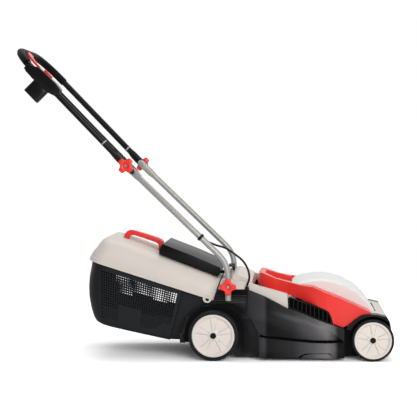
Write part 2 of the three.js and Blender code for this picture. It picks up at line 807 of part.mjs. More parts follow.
function trimPlan(inset) {
  const near = trimPlanShares.map(([u, v]) => [u * wheelBase, v * trimHalf - inset]);
  const far = near.map(([x, y]) => [x, -y]).reverse();
  return planSlab([...near, ...far], 0, bodyHeight);
}

function carryHandle() {
  const top = bodyPoints(trimTopShares);
  const band = sideSlab([...top, ...trimLow()], -trimHalf - overrun, trimHalf + overrun);
  const domeRear = bodyPoints(domeTopShares)[0][0];
  const sideClear = domeHalf + runGap;
  const domeRoom = block(domeRear - runGap, wheelBase + overrun, -sideClear, sideClear, 0,
    bodyHeight + overrun);
  const holeRear = loopRear * wheelBase;
  const holeCorner = loopRadiusShare * wheelBase;
  const hole = planSlab([[holeRear, -loopHoleHalf + holeCorner], [holeRear + holeCorner, -loopHoleHalf],
    [domeRear, -loopHoleHalf], [domeRear, loopHoleHalf], [holeRear + holeCorner, loopHoleHalf],
    [holeRear, loopHoleHalf - holeCorner]], 0, bodyHeight + overrun);
  const under = sideSlab([...lifted(top.slice(6, -1), 0, -thinWall), [top[10][0], 0], [top[6][0], 0]],
    -trimHalf, trimHalf);
  const hollow = trimPlan(thinWall).intersect(under);
  return trimPlan(0).intersect(band).subtract(domeRoom).subtract(hole).subtract(hollow);
}

place('carry_handle', carryHandle(), redPlastic);

// Vent grilles, dark tab and front bumper

const grilleTopShares = [
  [0.743, 0.503], [0.728, 0.559], [0.706, 0.586], [0.632, 0.641], [0.526, 0.707], [0.476, 0.732],
];
const grilleFrame = 4;

function grille() {
  const top = lifted(bodyPoints(grilleTopShares), 0, -seatGap);
  const line = lifted(deckTop, 0, seatGap);
  const rearX = lastOf(top)[0];
  const frontX = bodyPoints(trimLowShares)[1][0] - seatGap;
  const between = line.filter(([x]) => x > rearX && x < frontX);
  const foot = [[rearX, heightOn(line, rearX)], ...between, [frontX, heightOn(line, frontX)]];
  const plate = sideSlab([...foot, ...top], grilleY - grilleThickness, grilleY);
  const room = lifted(foot, 0, grilleFrame);
  room[0][0] += grilleFrame;
  lastOf(room)[0] -= grilleFrame + grilleFrame;
  const roof = lifted(top, -grilleFrame, -grilleFrame).slice(0, -1);
  const open = sideSlab([...room, ...roof, [rearX + grilleFrame, lastOf(top)[1] - grilleFrame]],
    grilleY - overrun, grilleY + overrun);
  const gaps = [];
  for (let gap = 0; gap <= slatCount; gap += 1) {
    const x = rearX + slatPitch * gap;
    gaps.push(block(x + slatWidth, x + slatPitch, grilleY - overrun, grilleY + overrun, 0, bodyHeight));
  }
  return plate.subtract(open.intersect(joined(gaps)));
}

place('left_vent_grille', grille(), blackPlastic);
place('right_vent_grille', mirrored(grille()), blackPlastic);

const bumperShell = 3;
const archGapFront = 9;

function frontBumper() {
  const outline = bodyPoints(bumperShares);
  const noseFront = Math.max(...bodyPoints(noseShares).map(([x]) => x));
  const noseTop = bodyPoints(noseShares)[5][1];
  const low = lastOf(outline)[1];
  const outer = sideSlab([...outline, [noseFront + seatGap, low], [noseFront + seatGap, outline[0][1]]],
    -bumperHalf, bumperHalf);
  const wheelRoom = rodY(wheelBase, frontWheel.radius, frontWheel.radius + archGapFront,
    wheelInner() - runGap, bumperHalf + overrun, wheelSteps);
  const domeRoom = block(0, bodyPoints(domeTopShares)[9][0] + runGap, -domeHalf - runGap, domeHalf + runGap,
    0, bodyHeight);
  const noseRoom = block(0, noseFront + seatGap, -noseHalf - seatGap, noseHalf + seatGap, 0,
    noseTop + seatGap);
  const inside = lifted(outline, 0, 0).map(([x, z]) => [x - bumperShell, z - bumperShell]);
  const bay = sideSlab([[inside[2][0], 0], ...inside.slice(2, -1), [lastOf(inside)[0], 0]],
    -bumperHalf + bumperShell, bumperHalf - bumperShell);
  const armWall = block(0, noseFront + overrun, noseHalf + seatGap + seatGap, noseHalf + bumperShell, 0,
    bodyHeight);
  const deckRoom = block(0, deckFront + seatGap, 0, bumperHalf + skirtProud + overrun, 0, bodyHeight);
  const deckCut = bothSides(deckRoom);
  let bumper = outer.subtract(bay.subtract(bothSides(armWall)));
  bumper = bumper.subtract(bothSides(wheelRoom)).subtract(domeRoom).subtract(noseRoom).subtract(deckCut);
  return bumper;
}

function wheelInner() {
  return wheelFaceY - Math.max(rearWheel.width, frontWheel.width);
}

place('front_bumper', frontBumper(), blackPlastic);

// Wheels, caps and axles

const hubLip = 5;
const tyreBead = 9;
const treadGroove = 2.5;

function tyre(wheel, x) {
  const outer = wheelFaceY;
  const inner = outer - wheel.width;
  const r = wheel.radius;
  const bead = wheel.hubRadius;
  const shoulder = (r - bead) / 2;
  return turnedY([[bead, inner], [r - shoulder / 2, inner], [r, inner + shoulder / 2], [r,
    outer - shoulder / 2],
    [r - shoulder / 2, outer], [bead + treadGroove, outer], [bead, outer - treadGroove]], x, r);
}

function hub(wheel, x) {
  const outer = wheelFaceY - runGap;
  const inner = wheelFaceY - wheel.width;
  const rim = wheel.hubRadius - seatGap;
  const bore = axleRadius + seatGap;
  const face = outer - hubLip;
  const boss = hubBoss + axleRadius;
  return turnedY([[bore, inner], [boss, inner], [boss, face - hubWeb], [rim - hubLip, face - hubWeb],
    [rim - hubLip, inner + hubLip], [rim, inner + hubLip], [rim, outer], [rim - hubLip, outer],
    [rim - hubLip - hubLip / 2, face], [wheel.capRadius + hubLip, face + hubLip / 2],
    [wheel.capRadius + seatGap, face + hubLip / 2], [wheel.capRadius + seatGap, face - hubWeb / 2], [bore,
    face - hubWeb / 2]],
  x, wheel.radius);
}

function cap(wheel, x) {
  const foot = wheelFaceY - runGap - hubLip - hubWeb / 2 + seatGap;
  const r = wheel.capRadius;
  return turnedY([[0, foot], [r, foot], [r, foot + capLength - hubLip / 2], [r - hubLip / 2,
    foot + capLength],
    [0, foot + capLength]].map(([a, b]) => [a, b]), x, wheel.radius, roundSteps);
}

for (const [end, wheel, x] of [['rear', rearWheel, 0], ['front', frontWheel, wheelBase]]) {
  for (const [side, flip] of [['left', false], ['right', true]]) {
    for (const [piece, make, material] of [['tyre', tyre, tyreRubber], ['hub', hub, hubCream], ['cap', cap,
    blackPlastic]]) {
      const solid = make(wheel, x);
      place(`${side}_${end}_${piece}`, flip ? mirrored(solid) : solid, material);
    }
  }
  const reach = wheelFaceY - runGap - hubLip - hubWeb / 2;
  place(`${end}_axle`, rodY(x, wheel.radius, axleRadius, -reach, reach, roundSteps / 2), bareSteel);
}

// Motor, fan, blade carrier and blade

const motorNeck = 24;
const shaftTop = 12;
const fanGap = 6;
const motorFoot = roofTop + seatGap;

place('motor_case', rodZ(bladeX, 0, motorRadius, motorFoot, motorFoot + motorHeight)
  .add(rodZ(bladeX, 0, motorNeck, motorFoot + motorHeight, motorFoot + motorHeight + roofThickness))
  .subtract(rodZ(bladeX, 0, shaftRadius + runGap, 0, motorFoot + motorHeight - shaftTop)), motorSteel);

const carrierTop = bladeHeight + bladeThickness + seatGap + carrierHeight;
const carrierFoot = bladeHeight + bladeThickness + seatGap;

place('motor_shaft', rodZ(bladeX, 0, shaftRadius, carrierFoot + seatGap,
  motorFoot + motorHeight - shaftTop - runGap,
  roundSteps / 2), bareSteel);

function bladeCarrier() {
  const bossRadius = shaftRadius + deckWall + deckWall;
  const disc = rodZ(bladeX, 0, carrierRadius, carrierFoot, carrierFoot + deckWall);
  const boss = rodZ(bladeX, 0, bossRadius, carrierFoot, carrierTop);
  return disc.add(boss).subtract(rodZ(bladeX, 0, shaftRadius + seatGap, 0, bodyHeight));
}

place('blade_carrier', bladeCarrier(), blackPlastic);

function coolingFan() {
  const low = carrierTop + seatGap;
  const high = Math.min(low + fanHeight, tunnelRoof - runGap);
  const core = rodZ(bladeX, 0, shaftRadius + deckWall, low, high);
  const plate = rodZ(bladeX, 0, fanRadius, low, low + thinWall / 2);
  const vanes = [];
  for (let vane = 0; vane < fanBladeCount; vane += 1) {
    const arm = block(shaftRadius, fanRadius, -thinWall / 2, thinWall / 2, low, high);
    vanes.push(arm.rotate([0, 0, 360 * vane / fanBladeCount]).translate([bladeX, 0, 0]));
  }
  return core.add(plate).add(joined(vanes)).subtract(rodZ(bladeX, 0, shaftRadius + seatGap, 0, bodyHeight));
}

place('cooling_fan', coolingFan(), blackPlastic);

const bladeShares = [[-1, -0.36], [-0.78, -0.5], [0.8, -0.5], [1, -0.24], [1, 0.36], [0.78, 0.5], [-0.8,
  0.5], [-1, 0.24]];
const bladeHoleRadius = 6;

function blade() {
  const half = bladeSpan / 2;
  const plan = bladeShares.map(([u, v]) => [bladeX + u * half, v * bladeChord]);
  const flat = planSlab(plan, bladeHeight, bladeHeight + bladeThickness);
  return flat.subtract(rodZ(bladeX, 0, bladeHoleRadius, 0, bodyHeight));
}

place('blade', blade(), bareSteel);
place('blade_bolt', rodZ(bladeX, 0, bladeBoltRadius, bladeHeight - seatGap - bladeBoltHeight,
  bladeHeight - seatGap, 6)
  .add(rodZ(bladeX, 0, bladeHoleRadius - seatGap, bladeHeight - seatGap, carrierFoot - seatGap / 3)),
  bareSteel);

const capacitorX = bladeX + motorRadius + capacitorGap + capacitorRadius;
place('start_capacitor', rodY(capacitorX, roofTop + seatGap + capacitorRadius, capacitorRadius,
  domeHalf / 2 - capacitorLength, domeHalf / 2), motorSteel);

// Rear flap with its hinge

// Share of the way from the flap's rear edge to its front edge, then of the lid height
const flapShares = [[-0.005, 1.08], [0.014, 1.26], [0.5, 1.19], [0.93, 1.09], [0.965, 1.0], [0.95, 0.79],
  [0.0, 0.92]];
const flapRoomShares = [[0.009, 0.68], [0.02, 1.22], [0.5, 1.15], [0.915, 1.055], [0.935, 0.98], [0.935,
  0.5]];
const flapArmShare = [0.93, 1];
const flapRearShare = 0.48372;
const flapReach = 7;
const flapFrom = flapRearShare * boxLength;
const flapTo = boxLength + flapReach;
const flapSide = 3;
const flapCrease = 6;

function flapPoint([u, v]) {
  return boxPoint(flapFrom + u * (flapTo - flapFrom), v * lidHeight);
}

function rearFlap() {
  const outline = flapShares.map(flapPoint);
  const body = sideSlab(outline, -flapHalf, flapHalf);
  const room = sideSlab(flapRoomShares.map(flapPoint), -flapHalf + flapSide, flapHalf - flapSide);
  const front = flapPoint(flapArmShare);
  const arms = [];
  for (const side of [-1, 1]) {
    const yFrom = side * knuckleY - knuckleWidth / 2;
    const yTo = side * knuckleY + knuckleWidth / 2;
    arms.push(rodY(hingeX, hingeZ, knuckleRadius, yFrom, yTo, roundSteps / 2));
    arms.push(sideSlab([[front[0] - deckWall, hingeZ - knuckleRadius / 2], [hingeX,
      hingeZ - knuckleRadius / 2],
      [hingeX, hingeZ + knuckleRadius - runGap], [front[0] - deckWall, hingeZ + knuckleRadius - runGap]],
      yFrom, yTo));
  }
  const springRoom = springTurns * springPitch / 2 + springWire * 2;
  const notch = block(hingeX - springLeg, hingeX, -springRoom, springRoom, 0,
    hingeZ - springRadius + springWire + springWire);
  return joined([body.subtract(room), ...arms]).subtract(notch).subtract(rodY(hingeX, hingeZ,
    hingeRodRadius + seatGap, -flapHalf, flapHalf));
}

place('rear_flap', rearFlap(), blackPlastic);
place('flap_hinge_rod', rodY(hingeX, hingeZ, hingeRodRadius, -hingeBlockY - hingeBlockWidth / 4,
  hingeBlockY + hingeBlockWidth / 4, roundSteps / 2), bareSteel);

function hingeBlock() {
  const seat = bodyPoints(hoodRimShares)[1][1] + seatGap;
  const rim = bodyPoints(hoodRimShares);
  const seatLine = Math.max(heightOn(rim, hingeX - hingeBlockLength / 2), heightOn(rim,
    hingeX + hingeBlockLength / 2));
  const low = Math.min(seat, seatLine + seatGap);
  const body = block(hingeX - hingeBlockLength / 2, hingeX + hingeBlockLength / 2,
    hingeBlockY - hingeBlockWidth / 2,
    hingeBlockY + hingeBlockWidth / 2, low, hingeZ + knuckleRadius);
  return body.subtract(rodY(hingeX, hingeZ, hingeRodRadius + seatGap, hingeBlockY - hingeBlockWidth,
    hingeBlockY + hingeBlockWidth / 2 - thinWall));
}

place('left_hinge_block', hingeBlock(), blackPlastic);
place('right_hinge_block', mirrored(hingeBlock()), blackPlastic);

// Least gap between stretches of the wire that lie a turn or more apart
function turnGap(points) {
  let least = Infinity;
  for (let first = 0; first < points.length; first += 1) {
    for (let next = first + springSteps; next < points.length; next += 1) {
      least = Math.min(least, points[first].distanceTo(points[next]) - 2 * springWire);
    }
  }
  return least;
}

// One unbroken wire: a leg under the flap, turns round the rod, and a leg on the hood
function flapSpring() {
  const points = [];
  const from = -springTurns * springPitch / 2;
  points.push(new THREE.Vector3(hingeX - springLeg, from, hingeZ - springRadius));
  for (let step = 0; step <= springTurns * springSteps; step += 1) {
    const angle = -Math.PI / 2 - 2 * Math.PI * step / springSteps;
    const x = hingeX + springRadius * Math.cos(angle);
    const z = hingeZ + springRadius * Math.sin(angle);
    points.push(new THREE.Vector3(x, from + springPitch * step / springSteps, z));
  }
  points.push(new THREE.Vector3(hingeX + springLeg / 3, -from, hingeZ - springRadius));
  console.log(`flap_spring least gap to itself: ${(turnGap(points)).toFixed(2)} mm`);
  return roundTubeAlong(points, springWire, points.length * 2, springSides);
}

place('flap_spring', flapSpring(), bareSteel);

// Grass box: basket, lid with dished top, and grip. Shares of the box length along, and of the lid
// height up
const lidShares = [
  [-0.062, 0.0], [-0.07, 0.1], [-0.05, 0.4], [-0.012, 0.75], [0.035, 0.91], [0.137, 1.0], [0.5, 0.925],
  [0.92, 0.81], [0.985, 0.79], [1.0, 0.74], [1.004, 0.5], [0.997, 0.25], [0.99, 0.0],
];
const neckFromShare = 0.755;
const boxWall = 3;
const planCornerShare = 0.24;
const lidCrownShares = [[1, 0], [1, 0.45], [0.965, 0.72], [0.88, 0.88], [0.6, 0.96], [0, 1]];
// Share of the box length, then share of the full crown height there
const lidFallShares = [[-0.2, 1], [0.137, 1], [0.5, 0.925], [1.2, 0.77]];
// Floor of the dish from its rear rim to its front rim
const dishShares = [[0.13, 1.05], [0.18, 0.83], [0.51, 0.755], [0.56, 0.98]];
const gripTopShares = [
  [0.138, 0.86], [0.146, 1.05], [0.158, 1.17], [0.176, 1.235], [0.205, 1.26], [0.31, 1.275], [0.42, 1.27],
  [0.45, 1.25], [0.466, 1.2], [0.488, 0.76],
];
const gripUnderShares = [
  [0.452, 0.76], [0.44, 1.03], [0.425, 1.085], [0.4, 1.1], [0.3, 1.11], [0.225, 1.11], [0.203, 1.085],
  [0.193, 1.03], [0.185, 0.8],
];

function boxPoints(shares, height) {
  return shares.map(([u, v]) => boxPoint(u * boxLength, v * height));
}

// A tilted box block given along, across and up from the lid seam
function boxBlock(alongFrom, alongTo, yFrom, yTo, riseFrom, riseTo) {
  return sideSlab([boxPoint(alongFrom, riseFrom), boxPoint(alongTo, riseFrom), boxPoint(alongTo, riseTo),
    boxPoint(alongFrom, riseTo)], yFrom, yTo);
}

// The outline seen square to the lid seam, with rounded rear corners, filled through a range of heights
function boxPlan(half, alongFrom, alongTo, riseFrom, riseTo) {
  const corner = planCornerShare * half * 2;
  const corners = arcPoints(corner, half - corner, corner, 90, 180).map(([u, v]) => [u + alongFrom, v]);
  const others = corners.map(([u, v]) => [u, -v]).reverse();
  const plan = shapeOf([[alongTo, half], ...corners, ...others, [alongTo, -half]]);
  const depth = riseTo - riseFrom;
  const geometry = new THREE.ExtrudeGeometry(plan, { depth, bevelEnabled: false });
  geometry.translate(0, 0, riseFrom);
  geometry.rotateY(THREE.MathUtils.degToRad(boxTilt));
  geometry.translate(seamRearX, 0, seamRearZ);
  return solidOf(geometry);
}

// Points shift along and up by the wall, so the hollow keeps a full wall under and behind it
function shiftedInBox(solid, along, rise) {
  const [x, z] = boxPoint(along, rise);
  return solid.translate([x - seamRearX, 0, z - seamRearZ]);
}

function grassBasket() {
  const from = basketShares[0][0] * boxLength;
  const deep = basketDepth + overrun;
  const neckFrom = neckFromShare * boxLength;
  const neck = (inset) => boxBlock(neckFrom / 2, boxLength + overrun, inset - neckHalf, neckHalf - inset,
    -deep, overrun);
  const outline = (inset) => boxPlan(basketHalf - inset, from, neckFrom - inset, -deep, overrun)
    .add(neck(inset));
  const slab = sideSlab(boxPoints(basketShares, basketDepth), -basketHalf, basketHalf);
  const outer = slab.intersect(outline(0));
  const inner = shiftedInBox(outer, boxWall, boxWall).intersect(outline(boxWall));
  return outer.subtract(inner);
}

place('grass_basket', grassBasket(), blackPlastic);

// Crowned section across the lid, carried along it while its height falls towards the front
function crownedBar(half) {
  const right = lidCrownShares.map(([across, up]) => [across * half, up * lidHeight]);
  const left = right.slice(0, -1).map(([y, rise]) => [-y, rise]).reverse();
  const rings = lidFallShares.map(([along, height]) => [...right, ...left].map(([y, rise]) => {
    const [x, z] = boxPoint(along * boxLength, rise > 0 ? rise * height : -overrun);
    return new THREE.Vector3(x, y, z);
  }));
  return skinned(rings);
}

// Dish in the lid top under the grip, or the same dish grown by a wall
function lidDish(grow) {
  const line = dishShares.map(([u, v]) => boxPoint(u * boxLength, v * lidHeight - grow));
  const ends = [lastOf(dishShares), dishShares[0]].map(([u]) => boxPoint(u * boxLength, lidHeight + overrun));
  return sideSlab([...line, ...ends], -dishHalf - grow, dishHalf + grow);
}

// Eye on each side of the lid front with an upright slot
function lidLug(side) {
  const from = side * lugY - lugThickness / 2;
  const to = from + lugThickness;
  const [x, z] = boxPoint(boxLength - lugSetBack, 0);
  const half = (lugHole.length - lugHole.width) / 2;
  const slotRod = (rise) => rodY(x, z + rise, lugHole.width / 2, from - overrun, to + overrun);
  const cut = block(x - lugHole.width / 2, x + lugHole.width / 2, from - overrun, to + overrun, z - half,
    z + half);
  return { round: rodY(x, z, lugRadius, from, to), slot: joined([slotRod(half), slotRod(-half), cut]) };
}

function boxLid() {
  const rear = lidShares[1][0] * boxLength;
  const bodyHalf = lidHalf - lidFlangeProud;
  const high = lidHeight + overrun;
  const slab = sideSlab(boxPoints(lidShares, lidHeight), -lidHalf, lidHalf);
  const front = lastOf(lidShares)[0] * boxLength;
  const plan = boxPlan(bodyHalf, rear, boxLength + overrun, 0, high);
  const body = slab.intersect(plan).intersect(crownedBar(bodyHalf));
  const flange = boxPlan(lidHalf, rear - lidFlangeProud, front, 0, lidFlange);
  const hollowPlan = boxPlan(bodyHalf - boxWall, rear + boxWall, front - boxWall, -overrun, high);
  const hollow = shiftedInBox(body, boxWall, -boxWall).intersect(hollowPlan).subtract(lidDish(boxWall));
  const below = boxPlan(bodyHalf - boxWall, rear + boxWall, front - boxWall, -overrun, boxWall);
  let lid = joined([body.subtract(lidDish(0)), flange]).subtract(hollow).subtract(below);
  for (const side of [-1, 1]) {
    const { round, slot } = lidLug(side);
    const corner = block(deckArmRear - seatGap, wideReach, side > 0 ? deckArmInner : -lidHalf - overrun,
      side > 0 ? lidHalf + overrun : -deckArmInner, 0, bodyHeight + lidHeight + overrun);
    lid = lid.subtract(corner).add(round).subtract(slot);
  }
  return lid;
}

place('grass_box_lid', boxLid(), creamPlastic);

// Red carrying grip, an arch whose two ends stand on the floor of the dish
function boxGrip() {
  const outline = [...boxPoints(gripTopShares, lidHeight), ...boxPoints(gripUnderShares, lidHeight)];
  const bar = sideSlab(outline, -gripHalf, gripHalf);
  const line = dishShares.map(([u, v]) => boxPoint(u * boxLength, v * lidHeight + seatGap));
  const ends = [lastOf(dishShares), dishShares[0]].map(([u]) => boxPoint(u * boxLength, 0));
  return bar.subtract(sideSlab([...line, ...ends], -dishHalf, dishHalf));
}

place('box_grip', boxGrip(), redPlastic);

// Lower handle tubes: a point on the centre line after the bend, and its direction

const leanRadians = THREE.MathUtils.degToRad(tubeLean);
const lowerDirection = new THREE.Vector3(-Math.sin(leanRadians), 0, Math.cos(leanRadians));
const bendCentre = { x: pivotX - tubeBend, z: pivotZ + tubeRise };
const bendEnd = new THREE.Vector3(bendCentre.x + tubeBend * Math.cos(leanRadians), 0,
  bendCentre.z + tubeBend * Math.sin(leanRadians));
const knobPoint = bendEnd.clone().addScaledVector(lowerDirection, tubeRun);
const lowerFlatY = lowerTubeY - lowerTubeRadius + flatThickness / 2 + flatSetIn;
const upperFlatY = lowerFlatY + flatThickness + seatGap;
const crossAxis = new THREE.Vector3(0, 1, 0);

// A stop on a tube that is pressed flat by a share from 0 (round) to 1 (flat)
function tubeStop(point, radius, flat, flatY, tubeY, spread = 1) {
  const mix = (from, to) => from + (to - from) * flat;
  return {
    point,
    inPlane: mix(radius, radius * flatSpread) * spread,
    outOfPlane: mix(radius, flatThickness / 2),
    shift: new THREE.Vector3(0, mix(0, flatY - tubeY), 0),
  };
}

function onLower(along, rise, y) {
  const point = knobPoint.clone().addScaledVector(lowerDirection, along);
  return new THREE.Vector3(point.x + rise * Math.cos(leanRadians), y, point.z + rise * Math.sin(leanRadians));
}

function lowerTube() {
  const stops = [new THREE.Vector3(pivotX, lowerTubeY, pivotZ - tubeTail)];
  for (const [x, z] of arcPoints(bendCentre.x, bendCentre.z, tubeBend, 0, tubeLean, bendSteps)) {
    stops.push(new THREE.Vector3(x, lowerTubeY, z));
  }
  const rings = stops.map((point) => tubeStop(point, lowerTubeRadius, 0, lowerFlatY, lowerTubeY));
  const tips = flatEndShares.map(([share, spread]) => [flatEnd * share, 1, spread]);
  const ends = [[-flatLength - flatEase, 0, 1], [-flatLength, 1, 1], ...tips];
  for (const [along, flat, spread] of ends) {
    const point = onLower(along, 0, lowerTubeY);
    rings.push(tubeStop(point, lowerTubeRadius, flat, lowerFlatY, lowerTubeY, spread));
  }
  const hole = lowerTubeRadius + overrun;
  return flatPathTube(rings, crossAxis)
    .subtract(rodY(pivotX, pivotZ, boltRadius + seatGap, lowerTubeY - hole, lowerTubeY + hole))
    .subtract(rodY(knobPoint.x, knobPoint.z, boltRadius + seatGap, lowerTubeY - hole, lowerTubeY + hole));
}

const lowerTubeSolid = lowerTube();
place('left_lower_tube', lowerTubeSolid, tubeSilver);
place('right_lower_tube', mirrored(lowerTubeSolid), tubeSilver);

// Upper handle: along runs up the legs from the knobs, rise is square to the legs on the front side

const upperRadians = THREE.MathUtils.degToRad(upperLean);
const legDirection = new THREE.Vector3(-Math.sin(upperRadians), 0, Math.cos(upperRadians));
const legNormal = new THREE.Vector3(Math.cos(upperRadians), 0, Math.sin(upperRadians));

function onUpper(along, rise, y) {
  const point = knobPoint.clone().addScaledVector(legDirection, along).addScaledVector(legNormal, rise);
  return new THREE.Vector3(point.x, y, point.z);
}

// A slab across the leg with its outline given along and up from the knobs
function upperSlab(points, yFrom, yTo) {
  return sideSlab(points.map(([along, rise]) => {
    const point = onUpper(along, rise, 0);
    return [point.x, point.z];
  }), yFrom, yTo);
}

// A slab lying on the legs with its outline given along and across, through a range of rises
function upperPlan(points, riseFrom, riseTo) {
  const depth = riseTo - riseFrom;
  const geometry = new THREE.ExtrudeGeometry(shapeOf(points), { depth, bevelEnabled: false });
  const basis = new THREE.Matrix4().makeBasis(legDirection, crossAxis, legNormal);
  basis.setPosition(onUpper(0, riseFrom, 0));
  geometry.applyMatrix4(basis);
  return solidOf(geometry);
}

// Centre line of the bow from one leg to the other, starting and ending at chosen heights on the legs
function bowPath(rightFrom, leftTo) {
  const centreAlong = upperLength - upperCorner;
  const centreY = upperTubeY - upperCorner;
  const rightSide = [];
  const leftSide = [];
  for (let step = 0; step <= bowSteps; step += 1) {
    const angle = Math.PI / 2 * step / bowSteps;
    const along = centreAlong + upperCorner * Math.sin(angle);
    const y = centreY + upperCorner * Math.cos(angle);
    if (along > rightFrom + bowEase) rightSide.push(onUpper(along, 0, -y));
    if (along > leftTo + bowEase) leftSide.unshift(onUpper(along, 0, y));
  }
  return [...rightSide, ...leftSide];
}

function onBow(along, side) {
  const past = Math.max(along - upperLength + upperCorner, 0);
  const y = upperTubeY - upperCorner + Math.sqrt(upperCorner ** 2 - past ** 2);
  return onUpper(along, 0, side * y);
}

function bowTube(radius, rightFrom, leftTo) {
  const points = [onBow(rightFrom, -1), ...bowPath(rightFrom, leftTo), onBow(leftTo, 1)];
  return flatPathTube(points.map((point) => ({ point, inPlane: radius, outOfPlane: radius })), legNormal);
}

function upperTube() {
  const legStops = (side) => [...flatEndShares.map(([share, spread]) => [-upperTail * share, 1,
  spread]).reverse(),
    [flatLength, 1, 1], [flatLength + flatEase, 0, 1]].map(([along, flat, spread]) => ({
    point: onUpper(along, 0, side * upperTubeY),
    inPlane: upperTubeRadius + (flatThickness / 2 - upperTubeRadius) * flat,
    outOfPlane: upperTubeRadius * (1 + (flatSpread - 1) * flat) * spread,
    shift: new THREE.Vector3(0, side * (upperFlatY - upperTubeY) * flat, 0),
  }));
  const round = bowPath(flatLength, flatLength).map((point) => (
    { point, inPlane: upperTubeRadius, outOfPlane: upperTubeRadius }));
  let tube = flatPathTube([...legStops(-1), ...round, ...legStops(1).reverse()], legNormal);
  const hole = upperTubeRadius + overrun;
  for (const side of [-1, 1]) {
    tube = tube.subtract(rodY(knobPoint.x, knobPoint.z, boltRadius + seatGap, side * upperTubeY - hole,
      side * upperTubeY + hole));
  }
  return tube;
}

place('upper_tube', upperTube(), tubeBlack);

const bowBore = bowTube(upperTubeRadius + seatGap, flatLength + flatEase, flatLength + flatEase);
place('foam_grip', bowTube(gripRadius, gripFrom, gripTo).subtract(bowBore), foamRubber);

// Bolts and star knobs

function bolt(x, z, headFrom, tip) {
  const head = rodY(x, z, boltHead.radius, headFrom, headFrom + boltHead.height);
  return joined([head, rodY(x, z, boltRadius, headFrom, tip)]);
}

function starKnob(x, z, inner, turn) {
  const outer = inner + knobThickness;
  const parts = [rodY(x, z, knobCore, inner, outer)];
  const reach = knobSpan / 2 - knobLobeWidth / 2;
  for (let lobe = 0; lobe < knobLobes; lobe += 1) {
    const angle = THREE.MathUtils.degToRad(turn) + 2 * Math.PI * lobe / knobLobes;
    const [dx, dz] = [Math.cos(angle), Math.sin(angle)];
    const [sx, sz] = [-dz * knobLobeWidth / 2, dx * knobLobeWidth / 2];
    const [tipX, tipZ] = [x + dx * reach, z + dz * reach];
    parts.push(rodY(tipX, tipZ, knobLobeWidth / 2, inner, outer));
    parts.push(sideSlab([[x - sx, z - sz], [tipX - sx, tipZ - sz], [tipX + sx, tipZ + sz], [x + sx, z + sz]],
      inner, outer));
  }
  return joined(parts)
    .subtract(rodY(x, z, boltRadius + seatGap, inner - overrun, inner + knobBore))
    .subtract(rodY(x, z, knobRecess, outer - knobThickness / knobLobes / 2, outer + overrun));
}

const lowerKnobY = lowerTubeY + lowerTubeRadius + seatGap;
const upperKnobY = upperFlatY + flatThickness / 2 + seatGap;
const lowerHeadY = hoodHalf - thinWall - boltHead.height - seatGap;
const upperHeadY = lowerFlatY - flatThickness / 2 - boltHead.height - seatGap;
const tipDepth = knobBore - boltTipGap;

placePair('lower_bolt', bolt(pivotX, pivotZ, lowerHeadY, lowerKnobY + tipDepth), bareSteel);
placePair('upper_bolt', bolt(knobPoint.x, knobPoint.z, upperHeadY, upperKnobY + tipDepth), bareSteel);
placePair('lower_knob', starKnob(pivotX, pivotZ, lowerKnobY, 0), redPlastic);
placePair('upper_knob', starKnob(knobPoint.x, knobPoint.z, upperKnobY, upperKnobTurn), redPlastic);

// Switch box on the right leg, outline given along and up from the right leg

function switchOutline() {
  return switchShares.map(([u, v]) => [switchFrom + u * (switchTo - switchFrom), v * switchRise]);
}

function buttonPlan(grow) {
  return [[buttonFrom - grow, -buttonOuterY - grow], [buttonFrom + buttonLength + grow, -buttonOuterY - grow],
    [buttonFrom + buttonLength + grow, buttonWidth - buttonOuterY + grow],
    [buttonFrom - grow, buttonWidth - buttonOuterY + grow]];
}

function bailPinRod(radius, yFrom, yTo) {
  const point = onUpper(bailPivotAlong, bailPivotRise, 0);
  return rodY(point.x, point.z, radius, yFrom, yTo);
}

function switchBox() {
  const pocket = upperPlan(buttonPlan(seatGap), switchRise - buttonStem - buttonTravel, switchRise + overrun);
  return upperSlab(switchOutline(), -switchOuterY, -switchInnerY)
    .subtract(bowBore)
    .subtract(pocket)
    .subtract(bailPinRod(bailPinRadius + seatGap, -switchInnerY - bailPinDepth - boltTipGap,
    overrun - switchInnerY));
}

place('switch_box', switchBox(), blackPlastic);
place('lock_button', upperPlan(buttonPlan(0), switchRise - buttonStem, switchRise + buttonProud), redPlastic);

// Plug inlet below the switch box: a hooded socket with two flat-based contact pins

function inletPlan(inset, riseFrom, riseTo) {
  const from = inletFrom + inset;
  const to = inletTo - inset;
  const half = inletDepth / 2 - inset;
  const corner = inletCornerShare * inletDepth;
  const outline = [];
  for (const [along, y, start] of [[to - corner, half - corner, 0], [from + corner, half - corner,
      quarterTurn],
    [from + corner, corner - half, 2 * quarterTurn], [to - corner, corner - half, 3 * quarterTurn]]) {
    outline.push(...arcPoints(along, y - inletMiddleY, corner, start, start + quarterTurn, cornerSteps));
  }
  return upperPlan(outline, riseFrom, riseTo);
}

function plugInlet() {
  const bottom = -switchDrop - inletLength;
  const seat = switchOutline().map(([along, rise]) => [along, rise - seatGap]);
  return inletPlan(0, bottom, 0)
    .subtract(upperSlab(seat, -switchOuterY - overrun, overrun - switchInnerY))
    .subtract(inletPlan(inletWall, bottom - overrun, bottom + inletSocketDepth));
}

function inletPins() {
  const floor = inletSocketDepth - switchDrop - inletLength - seatGap;
  const middle = (inletFrom + inletTo) / 2;
  const base = upperPlan([[middle - pinSpacing, -pinBaseHalf - inletMiddleY],
    [middle + pinSpacing, -pinBaseHalf - inletMiddleY], [middle + pinSpacing, pinBaseHalf - inletMiddleY],
    [middle - pinSpacing, pinBaseHalf - inletMiddleY]], floor - pinBaseThickness, floor);
  const pins = [-pinSpacing / 2, pinSpacing / 2].map((offset) => upperPlan(
    arcPoints(middle + offset, -inletMiddleY, pinRadius, 0, 360, tubeSteps).slice(1),
    floor - pinLength, floor - pinBaseThickness / 2));
  return joined([base, ...pins]);
}

place('plug_inlet', plugInlet(), blackPlastic);
place('inlet_pins', inletPins(), brassMetal);

